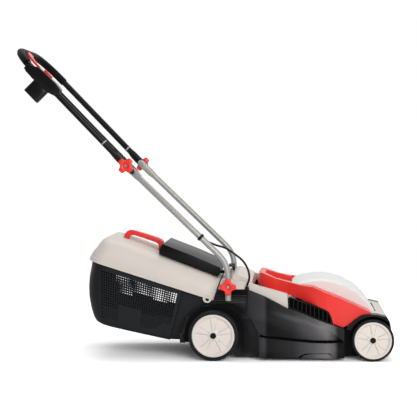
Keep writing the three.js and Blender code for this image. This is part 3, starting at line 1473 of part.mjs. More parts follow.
// Red bail lever inside the bow, turning on a pin in the switch box

function bailLever() {
  const centre = [upperLength - upperCorner, upperCorner - upperTubeY];
  const reach = upperCorner - gripRadius - bailClearance;
  const edge = arcPoints(centre[0], centre[1], reach, bailArc.from, bailArc.to, bowSteps);
  const inner = arcPoints(centre[0] - bailSetBack, centre[1], reach - bailBand, bailArc.to, bailArc.from,
    bowSteps);
  const trimmed = upperPlan([...edge, ...inner], bailRise, bailRise + bailThickness)
    .intersect(upperPlan([[bailPivotAlong - bailHub, -switchInnerY + seatGap], [upperLength,
    -switchInnerY + seatGap],
      [upperLength, -bailEndY], [bailPivotAlong - bailHub, -bailEndY]], bailRise - overrun,
      bailRise + overrun * 2));
  const hub = bailPinRod(bailHub, seatGap - switchInnerY, bailHubWidth - switchInnerY);
  const pin = bailPinRod(bailPinRadius, -switchInnerY - bailPinDepth, seatGap * 2 - switchInnerY);
  return joined([trimmed, hub, pin]);
}

place('bail_lever', bailLever(), redPlastic);

// Cable held along the inner side of the right leg and the right lower tube

const cableY = lowerTubeY - lowerTubeRadius - cableRadius - cableLift;
const upperCableY = upperTubeY - upperTubeRadius - cableRadius - cableLift;

function cable(points) {
  return roundTubeAlong(points, cableRadius, (points.length - 1) * cableSteps, cableSides);
}

const cableTurnAlong = 2 * cablePassAlong;
place('cable_upper', cable([
  onUpper(switchFrom - cableEndGap, cablePassRise, -upperCableY),
  onUpper(cableTurnAlong * 2, cablePassRise, -upperCableY),
  onUpper(cableTurnAlong, cablePassRise, -(upperCableY + cableY) / 2),
  onUpper(cablePassAlong, cablePassRise, -cableY),
]), cableBlack);
place('cable_bridge', cable([
  onUpper(cablePassAlong - cableEndGap, cablePassRise, -cableY),
  onLower(0, cablePassRise, -cableY),
  onLower(cableEndGap - cablePassAlong, cablePassRise, -cableY),
]), cableBlack);

// The clip sits where the cable leaves the tube; its place is given back from the knob
const loopStart = onLower(-clipBack - clipWidth, 0, -cableY);
place('cable_lower', cable([
  onLower(-cablePassAlong, cablePassRise, -cableY),
  onLower(-cableTurnAlong, cablePassRise / 2, -cableY),
  onLower(-cableTurnAlong - cablePassAlong, 0, -cableY),
  onLower(-clipBack + clipWidth, 0, -cableY),
  loopStart,
]), cableBlack);

const loopEnd = new THREE.Vector3(cableEntryX, -cableEntryY, deckShoulderZ + grommetHeight + cableEndGap * 2);
const loopPoints = cableLoopShares.map(([u, v, w]) => new THREE.Vector3(
  loopStart.x + (loopEnd.x - loopStart.x) * u,
  -cableY - (cableEntryY - cableY) * w,
  loopStart.z + (loopEnd.z - loopStart.z) * v,
));
const loopHead = loopStart.clone().addScaledVector(lowerDirection, -cableEndGap);
place('cable_loop', cable([loopHead, ...loopPoints, loopEnd]), cableBlack);

// A rod between two points on the lower tube direction
function lowerRod(along, length, y, radius) {
  const geometry = new THREE.CylinderGeometry(radius, radius, length, roundSteps);
  geometry.applyQuaternion(new THREE.Quaternion().setFromUnitVectors(crossAxis, lowerDirection));
  const centre = onLower(along, 0, y);
  geometry.translate(centre.x, centre.y, centre.z);
  return solidOf(geometry);
}

const clipRings = [[lowerTubeY, lowerTubeRadius], [cableY, cableRadius]];
const clipOuter = clipRings.map(([y, radius]) => lowerRod(-clipBack, clipWidth, -y,
  radius + seatGap + clipWall));
const clipBores = clipRings.map(([y, radius]) => lowerRod(-clipBack, clipWidth * 2, -y, radius + seatGap));
place('cable_clip', joined(clipOuter).subtract(joined(clipBores)), blackPlastic);

const grommetProfile = [[0, 0], [grommetRadius, 0], [grommetRadius, grommetHeight / 3],
  [grommetRadius - clipWall, grommetHeight], [0, grommetHeight]];
const grommetGeometry = new THREE.LatheGeometry(grommetProfile.map(([r, z]) => new THREE.Vector2(r, z)),
  roundSteps);
grommetGeometry.rotateX(Math.PI / 2);
grommetGeometry.translate(cableEntryX, -cableEntryY, deckShoulderZ + seatGap);
place('cable_grommet', solidOf(grommetGeometry).subtract(rodZ(cableEntryX, -cableEntryY,
  cableRadius + seatGap,
  deckShoulderZ + grommetHeight / 3, deckShoulderZ + overrun)), blackPlastic);

// The origin is moved to the middle of the part's outer box, at floor height

const outerBox = new THREE.Box3().setFromObject(root);
const middle = outerBox.getCenter(new THREE.Vector3());
for (const mesh of root.children) mesh.geometry.translate(-middle.x, -middle.y, -outerBox.min.z);

export default root;
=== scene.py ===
import bmesh
import bpy
import math
from mathutils import Matrix, Vector


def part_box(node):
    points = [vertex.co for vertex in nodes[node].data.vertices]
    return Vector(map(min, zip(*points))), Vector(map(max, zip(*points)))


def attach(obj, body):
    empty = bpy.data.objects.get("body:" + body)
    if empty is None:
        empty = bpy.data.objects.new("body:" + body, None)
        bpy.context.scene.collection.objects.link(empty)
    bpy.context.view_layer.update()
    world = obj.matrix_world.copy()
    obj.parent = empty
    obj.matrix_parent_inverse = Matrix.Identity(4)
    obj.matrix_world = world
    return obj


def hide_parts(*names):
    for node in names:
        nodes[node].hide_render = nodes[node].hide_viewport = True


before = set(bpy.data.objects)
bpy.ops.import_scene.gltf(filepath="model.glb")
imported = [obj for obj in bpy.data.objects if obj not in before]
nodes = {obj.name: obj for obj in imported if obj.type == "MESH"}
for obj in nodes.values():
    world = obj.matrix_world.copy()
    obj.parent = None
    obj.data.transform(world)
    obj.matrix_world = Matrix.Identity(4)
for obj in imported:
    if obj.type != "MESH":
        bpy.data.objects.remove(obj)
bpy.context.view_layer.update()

scene = bpy.context.scene
print("stage: frame loaded")

# Camera, solved from the wheels, the deck and the handle in the photograph

cameraValues = {
    "eye": (0.29969, -3.91875, 0.70055),
    "yaw": 0.07416,
    "pitch": 0.05083,
    "roll": -0.01017,
    "focalPixels": 1121.37,
    "imagePixels": 417,
    "sensorWidth": 36,
    "clipEnd": 60,
}


def placeCamera(v):
    yaw, pitch, roll = v["yaw"], v["pitch"], v["roll"]
    ahead = Vector((-math.sin(yaw) * math.cos(pitch), math.cos(yaw) * math.cos(pitch), -math.sin(pitch)))
    side = Vector((math.cos(yaw), math.sin(yaw), 0))
    lift = side.cross(ahead)
    right = side * math.cos(roll) + lift * math.sin(roll)
    up = lift * math.cos(roll) - side * math.sin(roll)
    data = bpy.data.cameras.new("mainCamera")
    data.sensor_width = v["sensorWidth"]
    data.sensor_fit = "HORIZONTAL"
    data.lens = v["sensorWidth"] * v["focalPixels"] / v["imagePixels"]
    data.clip_end = v["clipEnd"]
    camera = bpy.data.objects.new("mainCamera", data)
    turn = Matrix((right, up, -ahead)).transposed().to_4x4()
    camera.matrix_world = Matrix.Translation(v["eye"]) @ turn
    scene.collection.objects.link(camera)
    scene.camera = camera


placeCamera(cameraValues)
scene.view_settings.view_transform = "Standard"
print("stage: camera")

# White studio: light comes mostly from the camera's side; the floor fades to white but keeps the shadow

studioValues = {
    "worldStrength": 0.42,
    "shineFront": 0.22,
    "shineBack": 1.15,
    "shineTurn": 0.3,
    "lamps": {
        "overheadLamp": {"watts": 22, "size": (2.6, 1.6), "place": (0.1, 0.5, 2.6), "aim": (0.0, 0.0, 0.3)},
        "frontLamp": {"watts": 92, "size": (2.6, 1.8), "place": (1.5, -3.7, 1.5), "aim": (0.1, 0.0, 0.3)},
    },
    "floorTone": 0.85,
    "floorGain": 1.8,
    "floorSize": 60,
    "fadeFrom": 0.9,
    "fadeTo": 2.2,
}


def addLamp(name, v):
    data = bpy.data.lights.new(name, "AREA")
    data.energy = v["watts"]
    data.shape = "RECTANGLE"
    data.size, data.size_y = v["size"]
    lamp = bpy.data.objects.new(name, data)
    lamp.location = v["place"]
    lamp.rotation_euler = (Vector(v["aim"]) - Vector(v["place"])).to_track_quat("-Z", "Y").to_euler()
    scene.collection.objects.link(lamp)


def buildWorld(v):
    world = bpy.data.worlds.new("studioWorld")
    world.use_nodes = True
    tree = world.node_tree
    background = tree.nodes["Background"]
    path = tree.nodes.new("ShaderNodeLightPath")
    place = tree.nodes.new("ShaderNodeTexCoord")
    split = tree.nodes.new("ShaderNodeSeparateXYZ")
    shine = tree.nodes.new("ShaderNodeMapRange")
    shine.inputs["From Min"].default_value = -v["shineTurn"]
    shine.inputs["From Max"].default_value = v["shineTurn"]
    shine.inputs["To Min"].default_value = v["shineFront"]
    shine.inputs["To Max"].default_value = v["shineBack"]
    gloss = tree.nodes.new("ShaderNodeMix")
    gloss.inputs["A"].default_value = v["worldStrength"]
    seen = tree.nodes.new("ShaderNodeMix")
    seen.inputs["B"].default_value = 1.0
    link = tree.links.new
    link(place.outputs["Generated"], split.inputs["Vector"])
    link(split.outputs["Y"], shine.inputs["Value"])
    link(path.outputs["Is Glossy Ray"], gloss.inputs["Factor"])
    link(shine.outputs["Result"], gloss.inputs["B"])
    link(gloss.outputs["Result"], seen.inputs["A"])
    link(path.outputs["Is Camera Ray"], seen.inputs["Factor"])
    link(seen.outputs["Result"], background.inputs["Strength"])
    background.inputs["Color"].default_value = (1, 1, 1, 1)
    scene.world = world


def buildFloor(v):
    half = v["floorSize"] / 2
    mesh = bpy.data.meshes.new("floor")
    corners = [(-half, -half, 0), (half, -half, 0), (half, half, 0), (-half, half, 0)]
    mesh.from_pydata(corners, [], [(0, 1, 2, 3)])
    floor = bpy.data.objects.new("floor", mesh)
    scene.collection.objects.link(floor)
    material = bpy.data.materials.new("floorPaper")
    material.use_nodes = True
    tree = material.node_tree
    tree.nodes.remove(tree.nodes["Principled BSDF"])
    path = tree.nodes.new("ShaderNodeLightPath")
    tone = tree.nodes.new("ShaderNodeMix")
    tone.inputs["A"].default_value = v["floorTone"]
    tone.inputs["B"].default_value = v["floorGain"]
    paper = tree.nodes.new("ShaderNodeBsdfDiffuse")
    glow = tree.nodes.new("ShaderNodeEmission")
    place = tree.nodes.new("ShaderNodeTexCoord")
    away = tree.nodes.new("ShaderNodeVectorMath")
    away.operation = "LENGTH"
    fade = tree.nodes.new("ShaderNodeMapRange")
    fade.interpolation_type = "SMOOTHSTEP"
    fade.inputs["From Min"].default_value = v["fadeFrom"]
    fade.inputs["From Max"].default_value = v["fadeTo"]
    seen = tree.nodes.new("ShaderNodeMath")
    seen.operation = "MULTIPLY"
    blend = tree.nodes.new("ShaderNodeMixShader")
    link = tree.links.new
    link(path.outputs["Is Camera Ray"], tone.inputs["Factor"])
    link(tone.outputs["Result"], paper.inputs["Color"])
    link(place.outputs["Object"], away.inputs[0])
    link(away.outputs["Value"], fade.inputs["Value"])
    link(fade.outputs["Result"], seen.inputs[0])
    link(path.outputs["Is Camera Ray"], seen.inputs[1])
    link(seen.outputs["Value"], blend.inputs["Fac"])
    link(paper.outputs["BSDF"], blend.inputs[1])
    link(glow.outputs["Emission"], blend.inputs[2])
    link(blend.outputs["Shader"], tree.nodes["Material Output"].inputs["Surface"])
    mesh.materials.append(material)


buildWorld(studioValues)
for lampName, lampValues in studioValues["lamps"].items():
    addLamp(lampName, lampValues)
buildFloor(studioValues)
print("stage: studio")

# Materials: each has a fine grain and a slow change of tone, and most have softened edges

materialValues = {
    "cream": {"colour": (0.66, 0.60, 0.545), "rough": 0.42, "grain": 0.02, "vary": 0.04},
    "dome": {"colour": (0.77, 0.78, 0.755), "rough": 0.34, "grain": 0.02, "vary": 0.03},
    "hub": {"colour": (0.76, 0.70, 0.645), "rough": 0.40, "grain": 0.02, "vary": 0.05, "edge": False},
    "red": {"colour": (0.86, 0.028, 0.020), "rough": 0.34, "grain": 0.02, "vary": 0.03},
    "deck": {"colour": (0.013, 0.013, 0.0145), "rough": 0.42, "grain": 0.03, "vary": 0.06, "shine": 0.25},
    "black": {"colour": (0.0035, 0.0035, 0.0042), "rough": 0.42, "grain": 0.03, "vary": 0.06, "shine": 0.18},
    "basket": {"colour": (0.010, 0.011, 0.0135), "rough": 0.45, "grain": 0.03, "vary": 0.08, "shine": 0.22},
    # dark: near-black used only for painted shade, on pit floors, vent shade sheets and painted shadow lines
    "dark": {"colour": (0.002, 0.002, 0.002), "rough": 0.9, "grain": 0.05, "vary": 0.05, "shine": 0.05},
    "foam": {"colour": (0.002, 0.002, 0.0024), "rough": 0.6, "grain": 0.1, "vary": 0.1, "shine": 0.12},
    "gloss": {"colour": (0.002, 0.002, 0.0024), "rough": 0.2, "grain": 0.0, "vary": 0.04, "shine": 0.4},
    "tyre": {"colour": (0.010, 0.010, 0.011), "rough": 0.6, "grain": 0.06, "vary": 0.1, "edge": False,
             "shine": 0.3},
    "silver": {"colour": (0.40, 0.39, 0.365), "rough": 0.42, "grain": 0.0, "vary": 0.03, "edge": False,
               "metal": 0.4},
    "tubeBlack": {"colour": (0.003, 0.003, 0.0035), "rough": 0.3, "grain": 0.0, "vary": 0.04, "edge": False,
                  "shine": 0.2},
    "steel": {"colour": (0.52, 0.52, 0.53), "rough": 0.3, "grain": 0.04, "vary": 0.08, "metal": 1.0},
    "motor": {"colour": (0.10, 0.10, 0.11), "rough": 0.4, "grain": 0.04, "vary": 0.08, "metal": 0.4},
    "cable": {"colour": (0.005, 0.005, 0.006), "rough": 0.5, "grain": 0.0, "vary": 0.1, "edge": False,
              "shine": 0.2},
    "brass": {"colour": (0.72, 0.52, 0.22), "rough": 0.25, "grain": 0.02, "vary": 0.05, "metal": 1.0},
}
surfaceValues = {
    "edgeRadius": 0.0012,
    "edgeSamples": 4,
    "grainScale": 900,
    "grainDetail": 2,
    "grainDepth": 0.0006,
    "varyScale": 7,
    "varyDetail": 3,
    "varyRoughShare": 0.6,
    "shine": 0.5,
}


def makeMaterial(name, v, surface):
    material = bpy.data.materials.new(name)
    material.use_nodes = True
    tree = material.node_tree
    shader = tree.nodes["Principled BSDF"]
    place = tree.nodes.new("ShaderNodeTexCoord")
    slow = tree.nodes.new("ShaderNodeTexNoise")
    slow.inputs["Scale"].default_value = surface["varyScale"]
    slow.inputs["Detail"].default_value = surface["varyDetail"]
    fine = tree.nodes.new("ShaderNodeTexNoise")
    fine.inputs["Scale"].default_value = surface["grainScale"]
    fine.inputs["Detail"].default_value = surface["grainDetail"]
    tree.links.new(place.outputs["Object"], slow.inputs["Vector"])
    tree.links.new(place.outputs["Object"], fine.inputs["Vector"])
    tone = tree.nodes.new("ShaderNodeMix")
    tone.data_type = "RGBA"
    dark = [c * (1 - v["vary"]) for c in v["colour"]]
    light = [min(c * (1 + v["vary"]), 1) for c in v["colour"]]
    tone.inputs["A"].default_value = (*dark, 1)
    tone.inputs["B"].default_value = (*light, 1)
    tree.links.new(slow.outputs["Fac"], tone.inputs["Factor"])
    tree.links.new(tone.outputs["Result"], shader.inputs["Base Color"])
    rough = tree.nodes.new("ShaderNodeMapRange")
    spread = v["vary"] * surface["varyRoughShare"]
    rough.inputs["To Min"].default_value = v["rough"] - spread
    rough.inputs["To Max"].default_value = v["rough"] + spread
    tree.links.new(slow.outputs["Fac"], rough.inputs["Value"])
    tree.links.new(rough.outputs["Result"], shader.inputs["Roughness"])
    bump = tree.nodes.new("ShaderNodeBump")
    bump.inputs["Strength"].default_value = v["grain"]
    bump.inputs["Distance"].default_value = surface["grainDepth"]
    tree.links.new(fine.outputs["Fac"], bump.inputs["Height"])
    if v.get("edge", True):
        edge = tree.nodes.new("ShaderNodeBevel")
        edge.samples = surface["edgeSamples"]
        edge.inputs["Radius"].default_value = surface["edgeRadius"]
        tree.links.new(edge.outputs["Normal"], bump.inputs["Normal"])
    tree.links.new(bump.outputs["Normal"], shader.inputs["Normal"])
    shader.inputs["Metallic"].default_value = v.get("metal", 0)
    shader.inputs["Specular IOR Level"].default_value = v.get("shine", surface["shine"])
    return material


# Painted highlight and shade along the deck's side: its base colour is scaled up and down with x, standing in
# for its bulge turning towards and away from the light, and tinted warmer where the painted highlight is
# brightest

deckPaintedLightValues = {
    "paintedGains": [(0.13, 1.2), (0.16, 3.2), (0.205, 3.6), (0.217, 0.5), (0.30, 1.8), (0.37, 7.0), (0.415, 14.0),
              (0.437, 8.0), (0.450, 0.5), (0.50, 0.9)],
    "highlightTint": (1.0, 0.93, 0.86),
}


def addPaintedLightAlongX(material, v):
    paintedGains = v["paintedGains"]
    tree = material.node_tree
    shader = tree.nodes["Principled BSDF"]
    source = shader.inputs["Base Color"].links[0].from_socket
    place = tree.nodes.new("ShaderNodeTexCoord")
    split = tree.nodes.new("ShaderNodeSeparateXYZ")
    reach = tree.nodes.new("ShaderNodeMapRange")
    low, high = paintedGains[0][0], paintedGains[-1][0]
    reach.inputs["From Min"].default_value = low
    reach.inputs["From Max"].default_value = high
    ramp = tree.nodes.new("ShaderNodeValToRGB")
    elements = ramp.color_ramp.elements
    top = max(tone for _, tone in paintedGains)
    while len(elements) < len(paintedGains):
        elements.new(0.5)
    for element, (x, tone) in zip(elements, paintedGains):
        element.position = (x - low) / (high - low)
        share = tone / top
        element.color = (*[share * (1 - (1 - part) * share) for part in v["highlightTint"]], 1)
    gain = tree.nodes.new("ShaderNodeVectorMath")
    gain.operation = "SCALE"
    gain.inputs["Scale"].default_value = top
    mixed = tree.nodes.new("ShaderNodeVectorMath")
    mixed.operation = "MULTIPLY"
    link = tree.links.new
    link(place.outputs["Object"], split.inputs["Vector"])
    link(split.outputs["X"], reach.inputs["Value"])
    link(reach.outputs["Result"], ramp.inputs["Fac"])
    link(ramp.outputs["Color"], gain.inputs[0])
    link(gain.outputs["Vector"], mixed.inputs[0])
    link(source, mixed.inputs[1])
    link(mixed.outputs["Vector"], shader.inputs["Base Color"])


materials = {name: makeMaterial(name, v, surfaceValues) for name, v in materialValues.items()}
# the deck material gets its painted highlight and shade along x
addPaintedLightAlongX(materials["deck"], deckPaintedLightValues)
print("stage: materials")

# CAD pieces that stay: welded, smooth where they curve and sharp where they fold

def socketOf(tree, name):
    for item in tree.interface.items_tree:
        if item.item_type == "SOCKET" and item.in_out == "INPUT" and item.name == name:
            return item.identifier
    return None


finishValues = {"weld": 0.00002, "sharpDegrees": 32}


def smoothGroup(degrees):
    tree = bpy.data.node_groups.new("smoothByFold", "GeometryNodeTree")
    tree.interface.new_socket("Geometry", in_out="INPUT", socket_type="NodeSocketGeometry")
    tree.interface.new_socket("Weld", in_out="INPUT", socket_type="NodeSocketFloat")
    tree.interface.new_socket("Geometry", in_out="OUTPUT", socket_type="NodeSocketGeometry")
    entry = tree.nodes.new("NodeGroupInput")
    leave = tree.nodes.new("NodeGroupOutput")
    weld = tree.nodes.new("GeometryNodeMergeByDistance")
    angle = tree.nodes.new("GeometryNodeInputMeshEdgeAngle")
    fold = tree.nodes.new("FunctionNodeCompare")
    fold.data_type = "FLOAT"
    fold.operation = "LESS_EQUAL"
    fold.inputs["B"].default_value = math.radians(degrees)
    faces = tree.nodes.new("GeometryNodeSetShadeSmooth")
    faces.domain = "FACE"
    edges = tree.nodes.new("GeometryNodeSetShadeSmooth")
    edges.domain = "EDGE"
    link = tree.links.new
    link(entry.outputs["Geometry"], weld.inputs["Geometry"])
    link(entry.outputs["Weld"], weld.inputs["Distance"])
    link(weld.outputs["Geometry"], faces.inputs["Geometry"])
    link(faces.outputs["Geometry"], edges.inputs["Geometry"])
    link(angle.outputs["Unsigned Angle"], fold.inputs["A"])
    link(fold.outputs["Result"], edges.inputs["Shade Smooth"])
    link(edges.outputs["Geometry"], leave.inputs["Geometry"])
    return tree


foldGroup = smoothGroup(finishValues["sharpDegrees"])


def finishNode(name, materialName):
    piece = nodes[name]
    piece.data.materials.clear()
    piece.data.materials.append(materials[materialName])
    smooth = piece.modifiers.new("smoothByFold", "NODES")
    smooth.node_group = foldGroup
    smooth[socketOf(foldGroup, "Weld")] = finishValues["weld"]


nodeFinish = {
    "rear_hood": "cream", "motor_cover": "dome", "carry_handle": "red", "rear_axle": "steel",
    "front_axle": "steel", "motor_case": "motor", "motor_shaft": "steel", "blade_carrier": "black",
    "cooling_fan": "black", "blade": "steel", "blade_bolt": "steel", "start_capacitor": "motor",
    "flap_hinge_rod": "steel", "flap_spring": "steel", "upper_tube": "tubeBlack", "foam_grip": "foam",
    "lock_button": "red", "inlet_pins": "brass", "bail_lever": "red", "cable_upper": "cable",
    "cable_bridge": "cable", "cable_lower": "cable", "cable_loop": "cable", "cable_clip": "black",
    "cable_grommet": "black",
}
for side in ("left", "right"):
    nodeFinish[f"{side}_vent_grille"] = "black"
    nodeFinish[f"{side}_hinge_block"] = "black"
    nodeFinish[f"{side}_lower_tube"] = "silver"
    for end in ("rear", "front"):
        nodeFinish[f"{side}_{end}_cap"] = "black"
    for level in ("lower", "upper"):
        nodeFinish[f"{side}_{level}_bolt"] = "steel"
for name, materialName in nodeFinish.items():
    finishNode(name, materialName)
print("stage: CAD pieces finished")

# Small helpers for pieces built here


def turnOut(piece):
    shape = bmesh.new()
    shape.from_mesh(piece.data)
    bmesh.ops.recalc_face_normals(shape, faces=shape.faces)
    shape.to_mesh(piece.data)
    shape.free()


def meshPiece(name, points, faces, materialName, smooth=True):
    mesh = bpy.data.meshes.new(name)
    mesh.from_pydata([tuple(point) for point in points], [], faces)
    mesh.validate()
    mesh.materials.append(materials[materialName])
    mesh.polygons.foreach_set("use_smooth", [smooth] * len(mesh.polygons))
    piece = bpy.data.objects.new(name, mesh)
    scene.collection.objects.link(piece)
    turnOut(piece)
    return piece


def ringFaces(ringCount, sides, closedAlong, closedRound=True):
    faces = []
    rings = ringCount if closedAlong else ringCount - 1
    spans = sides if closedRound else sides - 1
    for ring in range(rings):
        for side in range(spans):
            a = ring * sides + side
            b = ring * sides + (side + 1) % sides
            c = (ring + 1) % ringCount * sides + (side + 1) % sides
            d = (ring + 1) % ringCount * sides + side
            faces.append((a, b, c, d))
    return faces


def bake(piece):
    graph = bpy.context.evaluated_depsgraph_get()
    fresh = bpy.data.meshes.new_from_object(piece.evaluated_get(graph))
    old = piece.data
    piece.modifiers.clear()
    piece.data = fresh
    bpy.data.meshes.remove(old)


def smoothStep(value, low, high):
    t = min(max((value - low) / (high - low), 0), 1)
    return t * t * (3 - 2 * t)


def signOf(side):
    return 1 if side == "left" else -1


def aroundY(centre, radius, y, angle):
    return centre.x + radius * math.cos(angle), y, centre.z + radius * math.sin(angle)


def outerAndInner(side, low, high):
    return (high.y, low.y) if side == "left" else (low.y, high.y)


# Wheel hubs: dished disc with a proud rim and five wedge spokes marked by shallow steps

hubValues = {
    "spokes": 5,
    "spokeHalfTurn": 0.21,
    "spokeEase": 0.03,
    "stepDepth": 0.0030,
    "grooveDepth": 0.0030,
    "grooveShare": 0.02,
    "innerShare": 0.2,
    "innerEase": 0.07,
    "outerShare": 0.84,
    "outerEase": 0.03,
    "rimShare": 0.925,
    "lipShare": 0.98,
    "lipDrop": 0.0012,
    "dish": 0.005,
    "core": 0.0098,
    "segments": 240,
    "turn": 0.30,
    "sharpDegrees": 50,
    "faceShares": [0.15, 0.19, 0.215, 0.24, 0.27, 0.33, 0.4, 0.48, 0.56, 0.64, 0.71, 0.77, 0.8, 0.82, 0.84,
                   0.86, 0.885, 0.905, 0.925, 0.94, 0.975, 0.99, 1.0],
    "backShares": [(1.0, 0.55), (0.9, 0.55), (0.88, 0.3), (0.3, 0.3), (0.28, 1.0)],
}


def hubFace(radiusShare, angle, v):
    turned = (angle - v["turn"]) % (math.tau / v["spokes"])
    away = min(turned, math.tau / v["spokes"] - turned)
    edge = abs(away - v["spokeHalfTurn"]) * radiusShare
    field = smoothStep(radiusShare, v["innerShare"], v["innerShare"] + v["innerEase"])
    field *= 1 - smoothStep(radiusShare, v["outerShare"] - v["outerEase"], v["outerShare"])
    panel = smoothStep(away, v["spokeHalfTurn"] - v["spokeEase"], v["spokeHalfTurn"] + v["spokeEase"])
    groove = math.exp(-((edge / v["grooveShare"]) ** 2))
    depth = v["dish"] * (1 - smoothStep(radiusShare, v["outerShare"], v["rimShare"]))
    depth += field * (panel * v["stepDepth"] + groove * v["grooveDepth"])
    return depth


def buildHub(side, end, v):
    name = f"{side}_{end}_hub"
    low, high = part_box(name)
    centre = (low + high) / 2
    radius = (high.z - low.z) / 2
    outer, inner = outerAndInner(side, low, high)
    coreShare = v["core"] / radius
    angles = [math.tau * step / v["segments"] for step in range(v["segments"])]
    points = []
    for share in (coreShare, *v["faceShares"]):
        drop = max(share - v["lipShare"], 0) / (1 - v["lipShare"]) * v["lipDrop"]
        for angle in angles:
            depth = hubFace(share, angle, v) + drop
            points.append(aroundY(centre, radius * share, outer - signOf(side) * depth, angle))
    for share, back in (*v["backShares"], (coreShare, 1.0)):
        points += [aroundY(centre, radius * share, outer + (inner - outer) * back, angle) for angle in angles]
    rings = len(points) // v["segments"]
    hub = meshPiece(name + "_disc", points, ringFaces(rings, v["segments"], True), "hub")
    hub.data.set_sharp_from_angle(angle=math.radians(v["sharpDegrees"]))
    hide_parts(name)
    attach(hub, f"{side}_{end}_wheel")


# Tyres: rounded section with a groove ring in the side and cross lugs on the tread

tyreValues = {
    "segments": 160,
    "seatGap": 0.0003,
    "side": [(0, 0), (0.2, 0), (0.3, 0.0016), (0.42, 0.0016), (0.5, 0.0002), (0.68, 0.0008), (0.86, 0.0034)],
    "shoulder": [(0.0004, 0.0072), (0, 0.0095)],
    "treadLine": [(-0.3, 0), (-0.27, 0.0016), (0.27, 0.0016), (0.3, 0)],
    "treadDrop": 0.0011,
    "lugs": 54,
    "lugWidthShare": 0.5,
    "lugHeightShare": 1.6,
    "lugLengthShare": 1.45,
    "sharpDegrees": 40,
}


def buildTyre(side, end, v):
    name = f"{side}_{end}_tyre"
    low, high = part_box(name)
    centre = (low + high) / 2
    radius = (high.z - low.z) / 2
    hubLow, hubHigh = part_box(f"{side}_{end}_hub")
    bore = (hubHigh.z - hubLow.z) / 2 + v["seatGap"]
    half = (high.y - low.y) / 2
    wall = radius - bore
    tread = radius - v["treadDrop"]
    flank = [(bore + wall * share, inset - half) for share, inset in v["side"]]
    flank += [(tread - drop, inset - half) for drop, inset in v["shoulder"]]
    outline = flank + [(tread - drop, half * share) for share, drop in v["treadLine"]]
    outline += [(r, -y) for r, y in reversed(flank)]
    points = []
    for r, y in outline:
        for step in range(v["segments"]):
            points.append(aroundY(centre, r, centre.y + y, math.tau * step / v["segments"]))
    tyre = meshPiece(name + "_ring", points, ringFaces(len(outline), v["segments"], True), "tyre")
    tyre.data.set_sharp_from_angle(angle=math.radians(v["sharpDegrees"]))
    addLugs(tyre, name, centre, radius, half, v)
    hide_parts(name)
    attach(tyre, f"{side}_{end}_wheel")


def lugGroup():
    tree = bpy.data.node_groups.new("treadLugs", "GeometryNodeTree")
    face = tree.interface
    face.new_socket("Geometry", in_out="INPUT", socket_type="NodeSocketGeometry")
    for label, kind in (("Count", "Int"), ("Radius", "Float"), ("Centre", "Vector"), ("Size", "Vector"),
                        ("Material", "Material")):
        face.new_socket(label, in_out="INPUT", socket_type="NodeSocket" + kind)
    face.new_socket("Geometry", in_out="OUTPUT", socket_type="NodeSocketGeometry")
    entry = tree.nodes.new("NodeGroupInput")
    leave = tree.nodes.new("NodeGroupOutput")
    circle = tree.nodes.new("GeometryNodeMeshCircle")
    toPoints = tree.nodes.new("GeometryNodeMeshToPoints")
    upright = tree.nodes.new("GeometryNodeTransform")
    upright.inputs["Rotation"].default_value = (math.pi / 2, 0, 0)
    cube = tree.nodes.new("GeometryNodeMeshCube")
    place = tree.nodes.new("GeometryNodeInstanceOnPoints")
    position = tree.nodes.new("GeometryNodeInputPosition")
    align = tree.nodes.new("FunctionNodeAlignRotationToVector")
    align.axis = "X"
    move = tree.nodes.new("GeometryNodeTransform")
    real = tree.nodes.new("GeometryNodeRealizeInstances")
    paint = tree.nodes.new("GeometryNodeSetMaterial")
    join = tree.nodes.new("GeometryNodeJoinGeometry")
    link = tree.links.new
    link(entry.outputs["Count"], circle.inputs["Vertices"])
    link(entry.outputs["Radius"], circle.inputs["Radius"])
    link(circle.outputs["Mesh"], upright.inputs["Geometry"])
    link(upright.outputs["Geometry"], toPoints.inputs["Mesh"])
    link(entry.outputs["Size"], cube.inputs["Size"])
    link(toPoints.outputs["Points"], place.inputs["Points"])
    link(cube.outputs["Mesh"], place.inputs["Instance"])
    link(position.outputs["Position"], align.inputs["Vector"])
    link(align.outputs["Rotation"], place.inputs["Rotation"])
    link(place.outputs["Instances"], real.inputs["Geometry"])
    link(real.outputs["Geometry"], move.inputs["Geometry"])
    link(entry.outputs["Centre"], move.inputs["Translation"])
    link(move.outputs["Geometry"], paint.inputs["Geometry"])
    link(entry.outputs["Material"], paint.inputs["Material"])
    link(paint.outputs["Geometry"], join.inputs["Geometry"])
    link(entry.outputs["Geometry"], join.inputs["Geometry"])
    link(join.outputs["Geometry"], leave.inputs["Geometry"])
    return tree


treadGroup = lugGroup()


def setInput(modifier, label, value):
    modifier[socketOf(modifier.node_group, label)] = value


def addLugs(tyre, name, centre, radius, half, v):
    modifier = tyre.modifiers.new("treadLugs", "NODES")
    modifier.node_group = treadGroup
    setInput(modifier, "Count", v["lugs"])
    setInput(modifier, "Radius", radius - v["treadDrop"])
    setInput(modifier, "Centre", tuple(centre))
    across = math.tau * radius / v["lugs"] * v["lugWidthShare"]
    setInput(modifier, "Size", (v["treadDrop"] * v["lugHeightShare"], half * v["lugLengthShare"], across))
    setInput(modifier, "Material", materials["tyre"])
    bake(tyre)


for side in ("left", "right"):
    for end in ("rear", "front"):
        buildHub(side, end, hubValues)
        buildTyre(side, end, tyreValues)
print("stage: wheels")

# Copies of CAD pieces as plain meshes in the shared frame

def copyOf(name, newName):
    source = nodes[name]
    mesh = source.data.copy()
    mesh.name = newName
    mesh.transform(source.matrix_world)
    shape = bmesh.new()
    shape.from_mesh(mesh)
    bmesh.ops.remove_doubles(shape, verts=shape.verts, dist=finishValues["weld"])
    bmesh.ops.recalc_face_normals(shape, faces=shape.faces)
    shape.to_mesh(mesh)
    shape.free()
    piece = bpy.data.objects.new(newName, mesh)
    scene.collection.objects.link(piece)
    return piece


